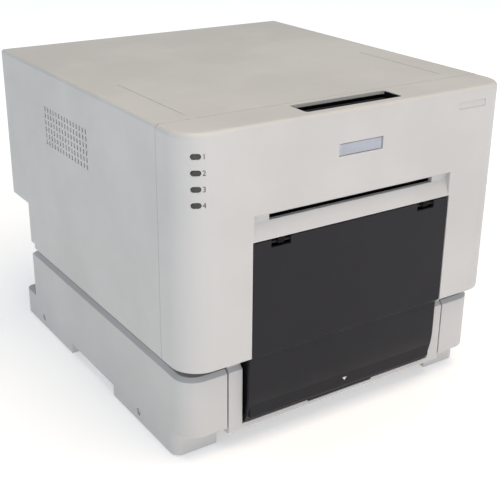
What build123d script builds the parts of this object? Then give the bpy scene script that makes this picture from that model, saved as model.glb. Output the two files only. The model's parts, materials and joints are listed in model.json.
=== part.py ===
from build123d import *
import os
from math import acos, atan2, cos, hypot, pi, radians, sin, sqrt, tan

# A dye sublimation photo printer, standing on its four feet.
# X runs across the machine, the front faces -Y and Z points up.
# The origin is the centre of the footprint, on the ground. All sizes are millimetres.

# Overall size
WIDTH = 322.0
DEPTH = 351.0
HEIGHT = 281.0
WALL = 3.0

# Front door
DOOR_DEPTH = 38.5
SEAM_GAP = 0.5
DOOR_CORNER_R = 24.0
DOOR_TOP_R = 4.0
DOOR_BOTTOM_Z = 90.0
OPENING_HALF_W = 101.0
OPENING_DROP = 16.1
HINGE_SETBACK = 29.5
HINGE_Z = 26.0
LEG_AHEAD = 18.5
LEG_HALF_W = 115.5
LEG_TOP_Z = 110.0
LEG_BEVEL_Z = 76.0
LEG_BEVEL = 3.4
LEG_SIDE_GAP = 1.5
LEG_WALL = 3.0
LEG_LOW_Z = 18.2
LEG_ROUND = 3.5
HINGE_PIN_R = 4.0
HINGE_PIN_LENGTH = 21.0
INNER_PANEL_T = 2.0

# Print exit
EXIT_DROP = 75.6
EXIT_HEIGHT = 4.7
EXIT_HALF_W = 83.5
SCOOP_HALF_W = 100.0
SCOOP_DEPTH = 4.8
SCOOP_TOP_RISE = 2.7
EXIT_WALL = 9.0
CHUTE_BELOW = 3.0
CHUTE_ABOVE = 3.6
CHUTE_SIDE = 2.0
CHUTE_WALL = 2.0
CHUTE_SIDE_WALL = 3.0

# Small things on the door front
BADGE_HALF_W = 22.0
BADGE_DROP = 37.0
BADGE_HEIGHT = 10.3
BADGE_DEPTH = 1.2
LABEL_X = 103.0
LABEL_WIDTH = 31.0
LABEL_DROP = 17.0
LABEL_HEIGHT = 6.0
LABEL_DEPTH = 0.6
LED_COUNT = 4
LED_DROP = 16.7
LED_PITCH = 12.2
LED_LENGTH = 7.7
LED_HEIGHT = 4.1
LED_ANGLE = 28.6
LED_FIT = 0.1
LED_DEPTH = 9.0
LED_POST_OUT = 9.0
LED_POST_IN = 13.0
LED_POST_END = 6.0
LED_BOARD_RIM = 4.0

# Finger slot and door latch
FINGER_HALF_W = 46.5
FINGER_FRONT_SETBACK = 10.8
FINGER_WIDTH = 21.7
FINGER_CORNER_R = 2.5
FINGER_WELL_DEPTH = 25.0
FINGER_WELL_WALL = 1.2
FINGER_WELL_FIT = 0.1
FINGER_RIM_DROP = 0.4
FINGER_SIDE_HEIGHT = 19.0
LATCH_SETBACK = 25.5
LATCH_DROP = 33.0
LATCH_SHAFT_R = 3.0
LATCH_SHAFT_END = 2.0
LATCH_HUB_R = 5.5
LATCH_EAR_X = 62.0
LATCH_EAR_T = 3.0
LATCH_EAR_CLEAR = 9.0
LATCH_BORE_GAP = 0.05
LEVER_HALF_W = 44.5
LEVER_T = 5.0
LEVER_TOP_GAP = 1.5
LEVER_STEP = 2.6
HOOK_X = 132.0
HOOK_WIDTH = 8.0
HOOK_REACH = 26.0
HOOK_TIP = 6.0
HOOK_RISE = 3.2
KEEPER_GAP = 0.5
SPRING_WIRE_R = 0.5
SPRING_COIL_GAP = 0.8
SPRING_PITCH = 1.6
SPRING_LENGTH = 11.2
SPRING_X = 68.0

# Scrap box
SCRAP_FRONT_SETBACK = 0.4
SCRAP_LOW_SETBACK = 4.2
SCRAP_STEP = 4.0
SCRAP_PIVOT_SETBACK = 2.9
SCRAP_PIVOT_DROP = 3.9
SCRAP_SIDE_GAP = 0.8
SCRAP_TOP_GAP = 1.1
SCRAP_WALL = 3.0
SCRAP_BOTTOM_Z = 25.4
SCRAP_FLOOR_GAP = 0.8
SCRAP_STRAIGHT_Z = 58.0
SCRAP_TAB_HALF_W = 34.7
SCRAP_TAB_DROP = 1.5
SCRAP_TAB_GAP = 0.6
SCRAP_NOTCH_X = 74.7
SCRAP_NOTCH_W = 18.7
SCRAP_NOTCH_H = 6.6
SCRAP_ROD_R = 1.2
SCRAP_LUG_R = 2.4
SCRAP_LUG_W = 6.0
SCRAP_LUG_FIT = 0.05
BIN_WALL = 2.0
BIN_SIDE_GAP = 4.5
BIN_BACK_GAP = 3.5
BIN_FLOOR_RISE = 5.0
BIN_TOP_DROP = 24.3

# Housing
HOUSING_TOP_R = 3.0
UNDERCUT_Z = 135.5
UNDERCUT_DEPTH = 39.5
NOTCH_DEPTH = 9.0
NOTCH_HEIGHT = 4.5
FLANGE_WIDTH = 11.0
CREASE_X = 130.0
CREASE_BACK_Y = -13.0
CREASE_FRONT_Y = -124.0
CREASE_WIDTH = 0.8
CREASE_DEPTH = 0.25
SEAM_MARK_X = 133.0
SEAM_MARK_R = 0.9
PIN_HOLE = (-46.0, -57.0)
PIN_HOLE_R = 0.7
PIN_HOLE_DEPTH = 1.5
VENT_COLUMNS = 15
VENT_ROWS = 6
VENT_PITCH = 6.2
VENT_FRONT_Y = -13.5
VENT_DROP = 66.5
VENT_SLOT_W = 2.6
VENT_SLOT_H = 4.2

# Base tray and feet
BASE_INSET = 4.5
BASE_FRONT_SETBACK = 11.0
BASE_REAR_SETBACK = 27.5
BASE_TOP_Z = 79.2
BASE_TOP_BEVEL = 3.4
BASE_CORNER_R = 18.0
BASE_UNDER_Z = 12.0
CHEEK_UNDER_Z = 25.0
NECK_WALL = 3.0
BULKHEAD_SETBACK = 51.5
FOOT_INNER_X = 117.0
FOOT_FRONT_INSET = 17.0
FRONT_FOOT_LENGTH = 113.8
REAR_FOOT_LENGTH = 116.8
REAR_FOOT_TOP_Z = 28.0
FOOT_CORNER_R = 8.0
PAD_INSET = 14.0
PAD_HEIGHT = 1.5
PAD_R = 9.0
BOSS_R = 8.0
BOSS_LENGTH = 12.0
HINGE_FIT = 0.06
SCREW_R = 3.0
SCREW_HEAD_T = 1.2
SCREW_Z = 10.8
SCREW_YS = (-83.0, 128.6)

# Steel chassis
PLATE_T = 1.5
FRAME_X = 112.0
FRAME_T = 2.0
FRAME_FRONT_GAP = 19.0
FRAME_BACK_GAP = 57.5
FRAME_TOP_DROP = 19.0
WINDOW_FRONT_GAP = 65.0
WINDOW_BACK_GAP = 23.0
WINDOW_LOW_Z = 120.0
WINDOW_TOP_DROP = 42.0
WINDOW_R = 6.0
TIE_BAR_R = 5.0
TIE_BAR_FRONT = 13.0
TIE_BAR_BACK = 10.0
TIE_BAR_LOW_Z = 28.0
TIE_BAR_MID_Z = 96.0
TIE_BAR_TOP_DROP = 22.0
BEAM_T = 2.0
BEAM_END = 4.0
BEAM_DEPTH = 14.5
FLOOR_RIM = 26.0
SHAFT_FIT = 0.05
BUSH_T = 2.5
BUSH_LENGTH = 5.0

# Paper roll
ROLL_BACK = 92.0
ROLL_Z = 92.0
ROLL_R = 51.0
MEDIA_HALF_W = 76.0
CORE_R = 26.0
FLANGE_R = 55.0
FLANGE_T = 2.5
SPINDLE_R = 6.0

# Print rollers and gear train
PLATEN_BACK = 42.0
PLATEN_DROP = 15.4
PLATEN_R = 9.0
PLATEN_HALF_W = 80.0
ROLLER_SHAFT_R = 4.0
FEED_BACK = 75.0
FEED_DROP = 7.4
PINCH_R = 5.0
PAPER_GAP = 0.3
MODULE = 1.0
PLATEN_TEETH = 24
FEED_TEETH = 18
IDLER_TEETH = 30
PINION_TEETH = 14
GEAR_WIDTH = 5.0
GEAR_OFFSET = 4.0
BACKLASH = 0.22
MESH_EASE = 0.1
PINION_SHAFT_R = 2.5
MOTOR_SIDE = 35.0
MOTOR_LENGTH = 28.0

# Ribbon
SUPPLY_BACK = 44.0
SUPPLY_RISE = 21.6
SUPPLY_R = 16.0
TAKEUP_BACK = 2.0
TAKEUP_RISE = 30.6
TAKEUP_R = 13.0
RIBBON_CORE_R = 9.0
RIBBON_SHAFT_R = 4.0
RIBBON_MOTOR_R = 13.0
RIBBON_MOTOR_LENGTH = 24.0

# Thermal head
HEAD_HALF_W = 78.0
HEAD_BAR_T = 6.0
HEAD_BAR_DEPTH = 12.0
HEATSINK_DEPTH = 22.0
HEATSINK_HEIGHT = 42.7
FIN_COUNT = 14
FIN_T = 2.2
ARM_T = 2.5
ARM_HALF_W = 84.0
ARM_FRONT_REACH = 22.0
ARM_PIVOT_BACK = 42.0
ARM_PIVOT_RISE = 5.0
ARM_SHAFT_R = 4.0
LOCK_FRONT = 22.0
LOCK_DROP = 30.0
LOCK_LENGTH = 34.0
LOCK_PIN_R = 4.0
LOCK_T = 4.0
LOCK_RIM = 4.0
LOCK_HALF_W = 5.0
LOCK_KNOB = 5.0
LOCK_GAP = 0.3
LOCK_PIN_END = 2.0

# Cutter
RAIL_BACK = 39.0
RAIL_DROP = 15.4
GROOVE_HALF_W = 2.0
RAIL_HEIGHT = 6.0
RAIL_DEPTH = 14.0
CARRIAGE_W = 16.0
CARRIAGE_PARK_X = -90.0
CARRIAGE_GAP = 0.3
CARRIAGE_H = 11.0
CARRIAGE_HALF_D = 6.0
CUTTER_POCKET = 0.3
CUTTER_FLOOR = 0.1
CUTTER_R = 9.0
CUTTER_T = 1.2
CUTTER_MOTOR_R = 10.0
CUTTER_MOTOR_LENGTH = 36.0
CUTTER_MOTOR_X = 50.0
SLOPE_GAP = 3.0
SLOPE_REACH = 10.0
SLOPE_DROP = 17.3
SLOPE_RISE = 14.0
SLOPE_T = 2.0

# Electrical parts
BOARD_SIDE_GAP = 21.0
BOARD_T = 1.6
BOARD_BACK = 68.0
BOARD_LENGTH = 140.0
BOARD_Z = 96.0
BOARD_HEIGHT = 110.0
CHIPS = ((46.0, 70.0, 30.0, 30.0, 3.0), (100.0, 34.0, 20.0, 26.0, 4.0), (106.0, 80.0, 24.0, 12.0, 9.0),
         (14.0, 60.0, 14.0, 34.0, 10.0))
POST_R = 3.0
SUPPLY_BOX_X = -30.0
SUPPLY_BOX_W = 130.0
SUPPLY_BOX_CLEAR = 24.0
SUPPLY_BOX_BACK = 4.0
SUPPLY_BOX_H = 50.0
REAR_PANEL_INSET = 2.0
REAR_PANEL_T = 2.0
FAN_SIDE_GAP = 69.0
FAN_DROP = 59.0
FAN_SIDE = 60.0
FAN_DEPTH = 15.0
FAN_BORE_R = 28.0
FAN_HUB_R = 13.0
FAN_BLADES = 7
FAN_TIP_GAP = 1.0
GUARD_WIRE = 1.6
GUARD_RINGS = 4
GUARD_FIRST_R = 10.0
GUARD_STEP = 7.0
INLET_SIDE_GAP = 49.0
INLET_RISE = 28.5
INLET_W = 24.0
INLET_H = 16.5
INLET_DEPTH = 15.0
SOCKET_WALL = 2.0
FLANGE_LIP = 3.0
FLANGE_LIP_T = 1.5
SWITCH_RISE = 30.0
SWITCH_W = 19.0
SWITCH_H = 13.0
SWITCH_DEPTH = 14.0
ROCKER_TILT = 6.0
ROCKER_GAP = 0.5
USB_SIDE_GAP = 97.0
USB_RISE = 26.5
USB_W = 12.5
USB_H = 11.0
USB_DEPTH = 12.0

# Places worked out from the sizes above
HALF_W = WIDTH / 2
BOARD_X = BOARD_SIDE_GAP - HALF_W
FAN_X = FAN_SIDE_GAP - HALF_W
INLET_X = HALF_W - INLET_SIDE_GAP
USB_X = HALF_W - USB_SIDE_GAP
FRONT = -DEPTH / 2
REAR = DEPTH / 2
SEAM_Y = FRONT + DOOR_DEPTH
HINGE_Y = FRONT + HINGE_SETBACK
EXIT_Z = HEIGHT - EXIT_DROP
OPENING_TOP_Z = EXIT_Z - OPENING_DROP
BADGE_Z = HEIGHT - BADGE_DROP
LABEL_Z = HEIGHT - LABEL_DROP
LED_TOP_Z = HEIGHT - LED_DROP
FINGER_WELL_Z = HEIGHT - FINGER_WELL_DEPTH
LATCH_Z = HEIGHT - LATCH_DROP
LATCH_SHAFT_HALF = HOOK_X + HOOK_WIDTH / 2 + LATCH_SHAFT_END
BIN_TOP_Z = OPENING_TOP_Z - BIN_TOP_DROP
VENT_BOTTOM_Z = HEIGHT - VENT_DROP
FRAME_FRONT_Y = SEAM_Y + FRAME_FRONT_GAP
FRAME_BACK_Y = REAR - FRAME_BACK_GAP
FRAME_TOP_Z = HEIGHT - FRAME_TOP_DROP
ROLL_Y = SEAM_Y + ROLL_BACK
FEED_Y = SEAM_Y + FEED_BACK
FEED_Z = EXIT_Z - FEED_DROP
PLATEN_Y = FEED_Y + PLATEN_BACK
PLATEN_Z = EXIT_Z - PLATEN_DROP
HEAD_Y = PLATEN_Y
SUPPLY_Y = PLATEN_Y + SUPPLY_BACK
SUPPLY_Z = EXIT_Z + SUPPLY_RISE
TAKEUP_Y = FEED_Y + TAKEUP_BACK
TAKEUP_Z = EXIT_Z + TAKEUP_RISE
LOCK_Y = FEED_Y - LOCK_FRONT
LOCK_Z = FRAME_TOP_Z - LOCK_DROP
RAIL_Y = SEAM_Y + RAIL_BACK
RAIL_TOP_Z = EXIT_Z - RAIL_DROP
BOARD_Y = FRAME_FRONT_Y + BOARD_BACK
SUPPLY_BOX_Y = ROLL_Y + FLANGE_R + SUPPLY_BOX_CLEAR
SUPPLY_BOX_D = FRAME_BACK_Y - SUPPLY_BOX_BACK - SUPPLY_BOX_Y
FAN_Z = HEIGHT - FAN_DROP
INLET_Z = UNDERCUT_Z + INLET_RISE
SWITCH_Z = INLET_Z + SWITCH_RISE
USB_Z = UNDERCUT_Z + USB_RISE
BASE_HALF_W = HALF_W - BASE_INSET
BASE_FRONT = FRONT + BASE_FRONT_SETBACK
BASE_REAR = REAR - BASE_REAR_SETBACK
LEG_FRONT = HINGE_Y - LEG_AHEAD
PANEL_BACK = SEAM_Y - 1.0
PANEL_FRONT = PANEL_BACK - INNER_PANEL_T
UNDERCUT_Y = REAR - UNDERCUT_DEPTH
NOTCH_Y = UNDERCUT_Y - NOTCH_DEPTH
NECK_HALF_W = HALF_W - FLANGE_WIDTH
NECK_REAR = NOTCH_Y - WALL
BULKHEAD_Y = FRONT + BULKHEAD_SETBACK
LATCH_Y = FRONT + LATCH_SETBACK
SCRAP_FRONT = FRONT + SCRAP_FRONT_SETBACK
SCRAP_TOP_Z = OPENING_TOP_Z - SCRAP_TOP_GAP
SCRAP_LOW_FRONT = FRONT + SCRAP_LOW_SETBACK
SCRAP_STEP_Z = DOOR_BOTTOM_Z + 0.5
SCRAP_PIVOT_Y = FRONT + SCRAP_PIVOT_SETBACK
SCRAP_PIVOT_Z = OPENING_TOP_Z - SCRAP_PIVOT_DROP
SCRAP_HALF_W = OPENING_HALF_W - SCRAP_SIDE_GAP
FLOOR_Z = BASE_UNDER_Z + WALL
CHASSIS_Z = FLOOR_Z + PLATE_T
FRAME_OUT_X = FRAME_X + FRAME_T
FEED_R = PLATEN_R * FEED_TEETH / PLATEN_TEETH
PINCH_Z = FEED_Z + FEED_R + PAPER_GAP + PINCH_R
GEAR_X = FRAME_OUT_X + GEAR_OFFSET
PANEL_OUT_Y = REAR - REAR_PANEL_INSET
PANEL_IN_Y = PANEL_OUT_Y - REAR_PANEL_T
HEAD_Z = PLATEN_Z + PLATEN_R + PAPER_GAP
HEATSINK_TOP_Z = HEAD_Z + HEAD_BAR_T + HEATSINK_HEIGHT
ARM_FRONT_Y = HEAD_Y - ARM_FRONT_REACH
ARM_PIVOT_Y = SUPPLY_Y + ARM_PIVOT_BACK
ARM_PIVOT_Z = HEATSINK_TOP_Z + ARM_PIVOT_RISE
TIE_BARS = (
    (FRAME_FRONT_Y + TIE_BAR_FRONT, TIE_BAR_LOW_Z),
    (FRAME_BACK_Y - TIE_BAR_BACK, TIE_BAR_MID_Z),
    (FRAME_BACK_Y - TIE_BAR_BACK, FRAME_TOP_Z - TIE_BAR_TOP_DROP),
)


def block(x0, x1, y0, y1, z0, z1):
    """A box between two opposite corners."""
    middle = ((x0 + x1) / 2, (y0 + y1) / 2, (z0 + z1) / 2)
    return Pos(*middle) * Box(abs(x1 - x0), abs(y1 - y0), abs(z1 - z0))


def rod_x(x0, x1, y, z, r):
    """A round bar along X."""
    return Pos((x0 + x1) / 2, y, z) * Rot(0, 90, 0) * Cylinder(r, abs(x1 - x0))


def rod_y(x, y0, y1, z, r):
    """A round bar along Y."""
    return Pos(x, (y0 + y1) / 2, z) * Rot(90, 0, 0) * Cylinder(r, abs(y1 - y0))


def rod_z(x, y, z0, z1, r):
    """A round bar along Z."""
    return Pos(x, y, (z0 + z1) / 2) * Cylinder(r, abs(z1 - z0))


def prism_x(points, x0, x1):
    """A closed outline in Y and Z, extruded along X."""
    outline = Polyline(*[(x0, y, z) for y, z in points], close=True)
    return extrude(make_face(outline), amount=abs(x1 - x0), dir=(1, 0, 0))


def both_sides(solid):
    """A solid and its mirror image across the middle of the machine."""
    return [solid, mirror(solid, about=Plane.YZ)]


def round_corners(solid, radius, picked):
    """Round the upright edges that picked says yes to."""
    edges = [e for e in solid.edges().filter_by(Axis.Z) if picked(e.center())]
    return fillet(edges, radius)


def solids_of(*shapes):
    """Put separate solids into one compound."""
    out = []
    for shape in shapes:
        out.extend(shape.solids())
    return Compound(children=out)


def save(name, shape):
    """Write one piece to its own file."""
    export_step(shape, f"parts/{name}.step")


# Housing and base


def housing_outline(inset):
    """The side outline of the housing, moved inwards by a wall."""
    low = DOOR_BOTTOM_Z + inset
    step = DOOR_BOTTOM_Z + NOTCH_HEIGHT + inset
    front = SEAM_Y + SEAM_GAP
    return [
        (front, low),
        (NOTCH_Y - inset, low),
        (NOTCH_Y - inset, step),
        (UNDERCUT_Y - inset, step),
        (UNDERCUT_Y - inset, UNDERCUT_Z + inset),
        (REAR, UNDERCUT_Z + inset),
        (REAR, HEIGHT - inset),
        (front, HEIGHT - inset),
    ]


def vent_slots():
    """The field of small slots in the left side."""
    slots = []
    for column in range(VENT_COLUMNS):
        for row in range(VENT_ROWS):
            y = VENT_FRONT_Y + column * VENT_PITCH
            z = VENT_BOTTOM_Z + row * VENT_PITCH
            slots.append(Pos(-HALF_W, y, z) * Box(3 * WALL, VENT_SLOT_W, VENT_SLOT_H))
    return slots


def main_housing():
    """The light shell over the machine, open at the front, the back and below."""
    shell = prism_x(housing_outline(0), -HALF_W, HALF_W)
    top_edges = [e for e in shell.edges().filter_by(Axis.Y) if e.center().Z > HEIGHT - 1]
    shell = fillet(top_edges, HOUSING_TOP_R)
    inner = HALF_W - WALL
    shell -= prism_x(housing_outline(WALL), -inner, inner)
    neck = NECK_HALF_W - NECK_WALL
    shell -= block(-neck, neck, FRONT, NECK_REAR, DOOR_BOTTOM_Z - 1, DOOR_BOTTOM_Z + WALL + 1)
    shell -= vent_slots()
    for side in (-1, 1):
        x = side * CREASE_X
        half = CREASE_WIDTH / 2
        shell -= block(x - half, x + half, CREASE_FRONT_Y, CREASE_BACK_Y, HEIGHT - CREASE_DEPTH, HEIGHT + 1)
        shell -= rod_z(side * SEAM_MARK_X, SEAM_Y + SEAM_GAP, HEIGHT - PIN_HOLE_DEPTH, HEIGHT + 1,
                       SEAM_MARK_R)
    return shell - rod_z(*PIN_HOLE, HEIGHT - PIN_HOLE_DEPTH, HEIGHT + 1, PIN_HOLE_R)


def rear_panel():
    """The steel plate that closes the back, with its cut-outs."""
    inner = HALF_W - WALL
    plate = block(-inner, inner, PANEL_IN_Y, PANEL_OUT_Y, UNDERCUT_Z + WALL, HEIGHT - WALL)
    plate -= rod_y(FAN_X, PANEL_IN_Y - 1, PANEL_OUT_Y + 1, FAN_Z, FAN_BORE_R)
    for x, z, w, h in socket_places():
        half_w = w / 2 + SOCKET_WALL
        half_h = h / 2 + SOCKET_WALL
        plate -= block(x - half_w, x + half_w, PANEL_IN_Y - 1, PANEL_OUT_Y + 1, z - half_h, z + half_h)
    return plate


def socket_places():
    """Centre and inner size of each socket in the rear panel."""
    return [
        (INLET_X, INLET_Z, INLET_W, INLET_H),
        (INLET_X, SWITCH_Z, SWITCH_W, SWITCH_H),
        (USB_X, USB_Z, USB_W, USB_H),
    ]


def front_foot():
    """The right front foot, flush with the side of the base."""
    y0 = BASE_FRONT + FOOT_FRONT_INSET
    solid = block(FOOT_INNER_X, BASE_HALF_W, y0, y0 + FRONT_FOOT_LENGTH, PAD_HEIGHT, CHEEK_UNDER_Z)
    return round_corners(solid, FOOT_CORNER_R, lambda c: c.X > FOOT_INNER_X + 1 and c.Y < y0 + 1)


def rear_foot():
    """The right rear foot, which reaches back past the base."""
    y0 = REAR - REAR_FOOT_LENGTH
    solid = block(FOOT_INNER_X, BASE_HALF_W, y0, REAR, PAD_HEIGHT, REAR_FOOT_TOP_Z)
    return round_corners(solid, FOOT_CORNER_R, lambda c: c.X > FOOT_INNER_X + 1 and c.Y > REAR - 1)


def base_shell():
    """The outer body of the base: a low block with a bevelled top edge."""
    body = block(-BASE_HALF_W, BASE_HALF_W, BASE_FRONT, BASE_REAR, BASE_UNDER_Z, BASE_TOP_Z)
    body = round_corners(body, BASE_CORNER_R, lambda c: c.Y < 0)
    rim = [e for e in body.edges() if e.center().Z > BASE_TOP_Z - 0.01]
    body = chamfer(rim, BASE_TOP_BEVEL)
    lip_y = BASE_FRONT + FOOT_FRONT_INSET
    body -= block(-HALF_W, HALF_W, FRONT, lip_y, 0, CHEEK_UNDER_Z)
    r = FOOT_CORNER_R
    corner = block(BASE_HALF_W - r, HALF_W, lip_y - 1, lip_y + r, 0, CHEEK_UNDER_Z)
    corner -= rod_z(BASE_HALF_W - r, lip_y + r, 0, CHEEK_UNDER_Z, r)
    for solid in both_sides(corner):
        body -= solid
    body += block(-NECK_HALF_W, NECK_HALF_W, BULKHEAD_Y - WALL, NOTCH_Y, BASE_UNDER_Z, DOOR_BOTTOM_Z)
    return body


def base_tray():
    """The base moulding: tray, neck and four feet, with a bay at the front for the door's leg."""
    body = base_shell()
    for piece in (front_foot(), rear_foot()):
        for solid in both_sides(piece):
            body += solid
    gap_x = LEG_HALF_W + LEG_SIDE_GAP
    wall_x = gap_x + WALL
    in_x = BASE_HALF_W - WALL
    neck = NECK_HALF_W - NECK_WALL
    deck = BASE_TOP_Z - WALL
    body -= block(-gap_x, gap_x, FRONT, BULKHEAD_Y - WALL, 0, HEIGHT)
    body -= block(-neck, neck, BULKHEAD_Y, NECK_REAR, FLOOR_Z, DOOR_BOTTOM_Z + 1)
    body -= block(-in_x, in_x, BULKHEAD_Y, BASE_REAR - WALL, FLOOR_Z, deck)
    pocket = block(wall_x, in_x - BASE_CORNER_R / 2, BASE_FRONT + WALL, BULKHEAD_Y + 1,
                   CHEEK_UNDER_Z + WALL, deck)
    for solid in both_sides(pocket):
        body -= solid
    for solid in both_sides(rod_x(gap_x, gap_x + BOSS_LENGTH, HINGE_Y, HINGE_Z, BOSS_R)):
        body += solid
    pin_end = LEG_HALF_W - HINGE_PIN_LENGTH / 2 + HINGE_PIN_LENGTH + 1
    for solid in both_sides(rod_x(gap_x - 1, pin_end, HINGE_Y, HINGE_Z, HINGE_PIN_R + HINGE_FIT)):
        body -= solid
    for y in SCREW_YS:
        for solid in both_sides(rod_x(BASE_HALF_W - 2 * SCREW_HEAD_T, HALF_W, y, SCREW_Z, SCREW_R + 0.5)):
            body -= solid
    return body


def rubber_pads():
    """Round rubber pads under the feet, two to a foot."""
    y_front = BASE_FRONT + FOOT_FRONT_INSET
    places = [
        y_front + PAD_INSET + PAD_R,
        y_front + FRONT_FOOT_LENGTH - PAD_INSET,
        REAR - REAR_FOOT_LENGTH + PAD_INSET,
        REAR - PAD_INSET - PAD_R,
    ]
    x = (FOOT_INNER_X + BASE_HALF_W) / 2
    pads = []
    for y in places:
        pads.extend(both_sides(rod_z(x, y, 0, PAD_HEIGHT, PAD_R)))
    return solids_of(*pads)


def case_screws():
    """Round screw heads in the sides of the base and on the rear panel."""
    screws = []
    for y in SCREW_YS:
        x = BASE_HALF_W - 2 * SCREW_HEAD_T
        screws.extend(both_sides(rod_x(x, x + SCREW_HEAD_T, y, SCREW_Z, SCREW_R)))
    inset = 8.0
    for z in (UNDERCUT_Z + WALL + inset, HEIGHT - WALL - inset):
        x = HALF_W - WALL - inset
        screws.extend(both_sides(rod_y(x, PANEL_OUT_Y, PANEL_OUT_Y + SCREW_HEAD_T, z, SCREW_R)))
    return solids_of(*screws)


# Front door


def corner_centre():
    """The axis of the left rounded corner of the door, seen from above."""
    return -HALF_W + DOOR_CORNER_R, FRONT + DOOR_CORNER_R


def led_prisms(grow, r_in, r_out):
    """Oval prisms pointing out of the rounded left corner, one for each lamp."""
    x, y = corner_centre()
    prisms = []
    for i in range(LED_COUNT):
        z = LED_TOP_Z - i * LED_PITCH
        oval = SlotOverall(LED_LENGTH + 2 * grow, LED_HEIGHT + 2 * grow)
        turned = Pos(x, y, z) * Rot(0, 0, -LED_ANGLE) * Rot(90, 0, 0) * Pos(0, 0, r_in)
        prisms.append(extrude(turned * oval, amount=r_out - r_in))
    return prisms


def door_shell():
    """The door's outer shell with its rounded corners and top edge."""
    outer = block(-HALF_W, HALF_W, FRONT, SEAM_Y, DOOR_BOTTOM_Z, HEIGHT)
    outer = round_corners(outer, DOOR_CORNER_R, lambda c: c.Y < FRONT + 1)
    rim = [e for e in outer.edges() if e.center().Z > HEIGHT - 0.01 and e.center().Y < SEAM_Y - 0.01]
    outer = fillet(rim, DOOR_TOP_R)
    x = HALF_W - WALL
    inner = block(-x, x, FRONT + WALL, SEAM_Y + 1, DOOR_BOTTOM_Z - 1, HEIGHT - WALL)
    inner = round_corners(inner, DOOR_CORNER_R - WALL, lambda c: c.Y < FRONT + WALL + 1)
    return outer - inner


def exit_surround():
    """The hollow that the prints come out of: its lower lip, upper lip and two ends."""
    slot_low = EXIT_Z - EXIT_HEIGHT / 2
    slot_high = EXIT_Z + EXIT_HEIGHT / 2
    deep = FRONT + SCOOP_DEPTH
    back = FRONT + EXIT_WALL
    lower = [
        (FRONT, OPENING_TOP_Z),
        (deep, slot_low),
        (back, slot_low),
        (back, OPENING_TOP_Z),
    ]
    upper = [
        (deep, slot_high),
        (FRONT, slot_high + SCOOP_TOP_RISE),
        (back, slot_high + SCOOP_TOP_RISE),
        (back, slot_high),
    ]
    lips = [prism_x(outline, -SCOOP_HALF_W, SCOOP_HALF_W) for outline in (lower, upper)]
    return [*lips, *both_sides(block(EXIT_HALF_W, SCOOP_HALF_W, deep, back, slot_low, slot_high))]


def scrap_lugs():
    """Lugs that hang from the opening's top edge and carry the scrap box."""
    lugs = []
    top = OPENING_TOP_Z - SCRAP_LUG_FIT
    arm = block(-SCRAP_LUG_W / 2, SCRAP_LUG_W / 2, SCRAP_PIVOT_Y - SCRAP_LUG_R, SCRAP_PIVOT_Y + SCRAP_LUG_R,
                SCRAP_PIVOT_Z, top)
    for side in (-1, 1):
        x = side * SCRAP_NOTCH_X
        lug = Pos(x, 0, 0) * arm
        lug += rod_x(x - SCRAP_LUG_W / 2, x + SCRAP_LUG_W / 2, SCRAP_PIVOT_Y, SCRAP_PIVOT_Z, SCRAP_LUG_R)
        lugs.append(lug - rod_x(x - SCRAP_LUG_W, x + SCRAP_LUG_W, SCRAP_PIVOT_Y, SCRAP_PIVOT_Z,
                                SCRAP_ROD_R + SHAFT_FIT))
    return lugs


def front_cover():
    """The door's outer cover, with the four solids around its print slot."""
    cover = door_shell()
    x = SCOOP_HALF_W + WALL
    top = EXIT_Z + EXIT_HEIGHT / 2 + SCOOP_TOP_RISE + WALL
    cover += block(-x, x, FRONT + WALL / 2, FRONT + EXIT_WALL, OPENING_TOP_Z, top)
    cover -= block(-SCOOP_HALF_W, SCOOP_HALF_W, FRONT - 1, FRONT + EXIT_WALL + 1,
                   OPENING_TOP_Z - 1, top - WALL)
    cover -= block(-OPENING_HALF_W, OPENING_HALF_W, FRONT - 1, FRONT + EXIT_WALL + 1, 0, OPENING_TOP_Z)
    rim = FINGER_WELL_WALL + FINGER_WELL_FIT
    slot_front = FRONT + FINGER_FRONT_SETBACK
    slot = block(-FINGER_HALF_W - rim, FINGER_HALF_W + rim, slot_front - rim, slot_front + FINGER_WIDTH,
                 HEIGHT - 2 * WALL, HEIGHT + 1)
    cover -= round_corners(slot, FINGER_CORNER_R, lambda c: True)
    cover -= block(-BADGE_HALF_W, BADGE_HALF_W, FRONT - 1, FRONT + BADGE_DEPTH,
                   BADGE_Z, BADGE_Z + BADGE_HEIGHT)
    cover -= block(LABEL_X, LABEL_X + LABEL_WIDTH, FRONT - 1, FRONT + LABEL_DEPTH,
                   LABEL_Z, LABEL_Z + LABEL_HEIGHT)
    cover -= led_prisms(LED_FIT, DOOR_CORNER_R - 2 * WALL, DOOR_CORNER_R + 1)
    return solids_of(cover, *exit_surround())


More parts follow.
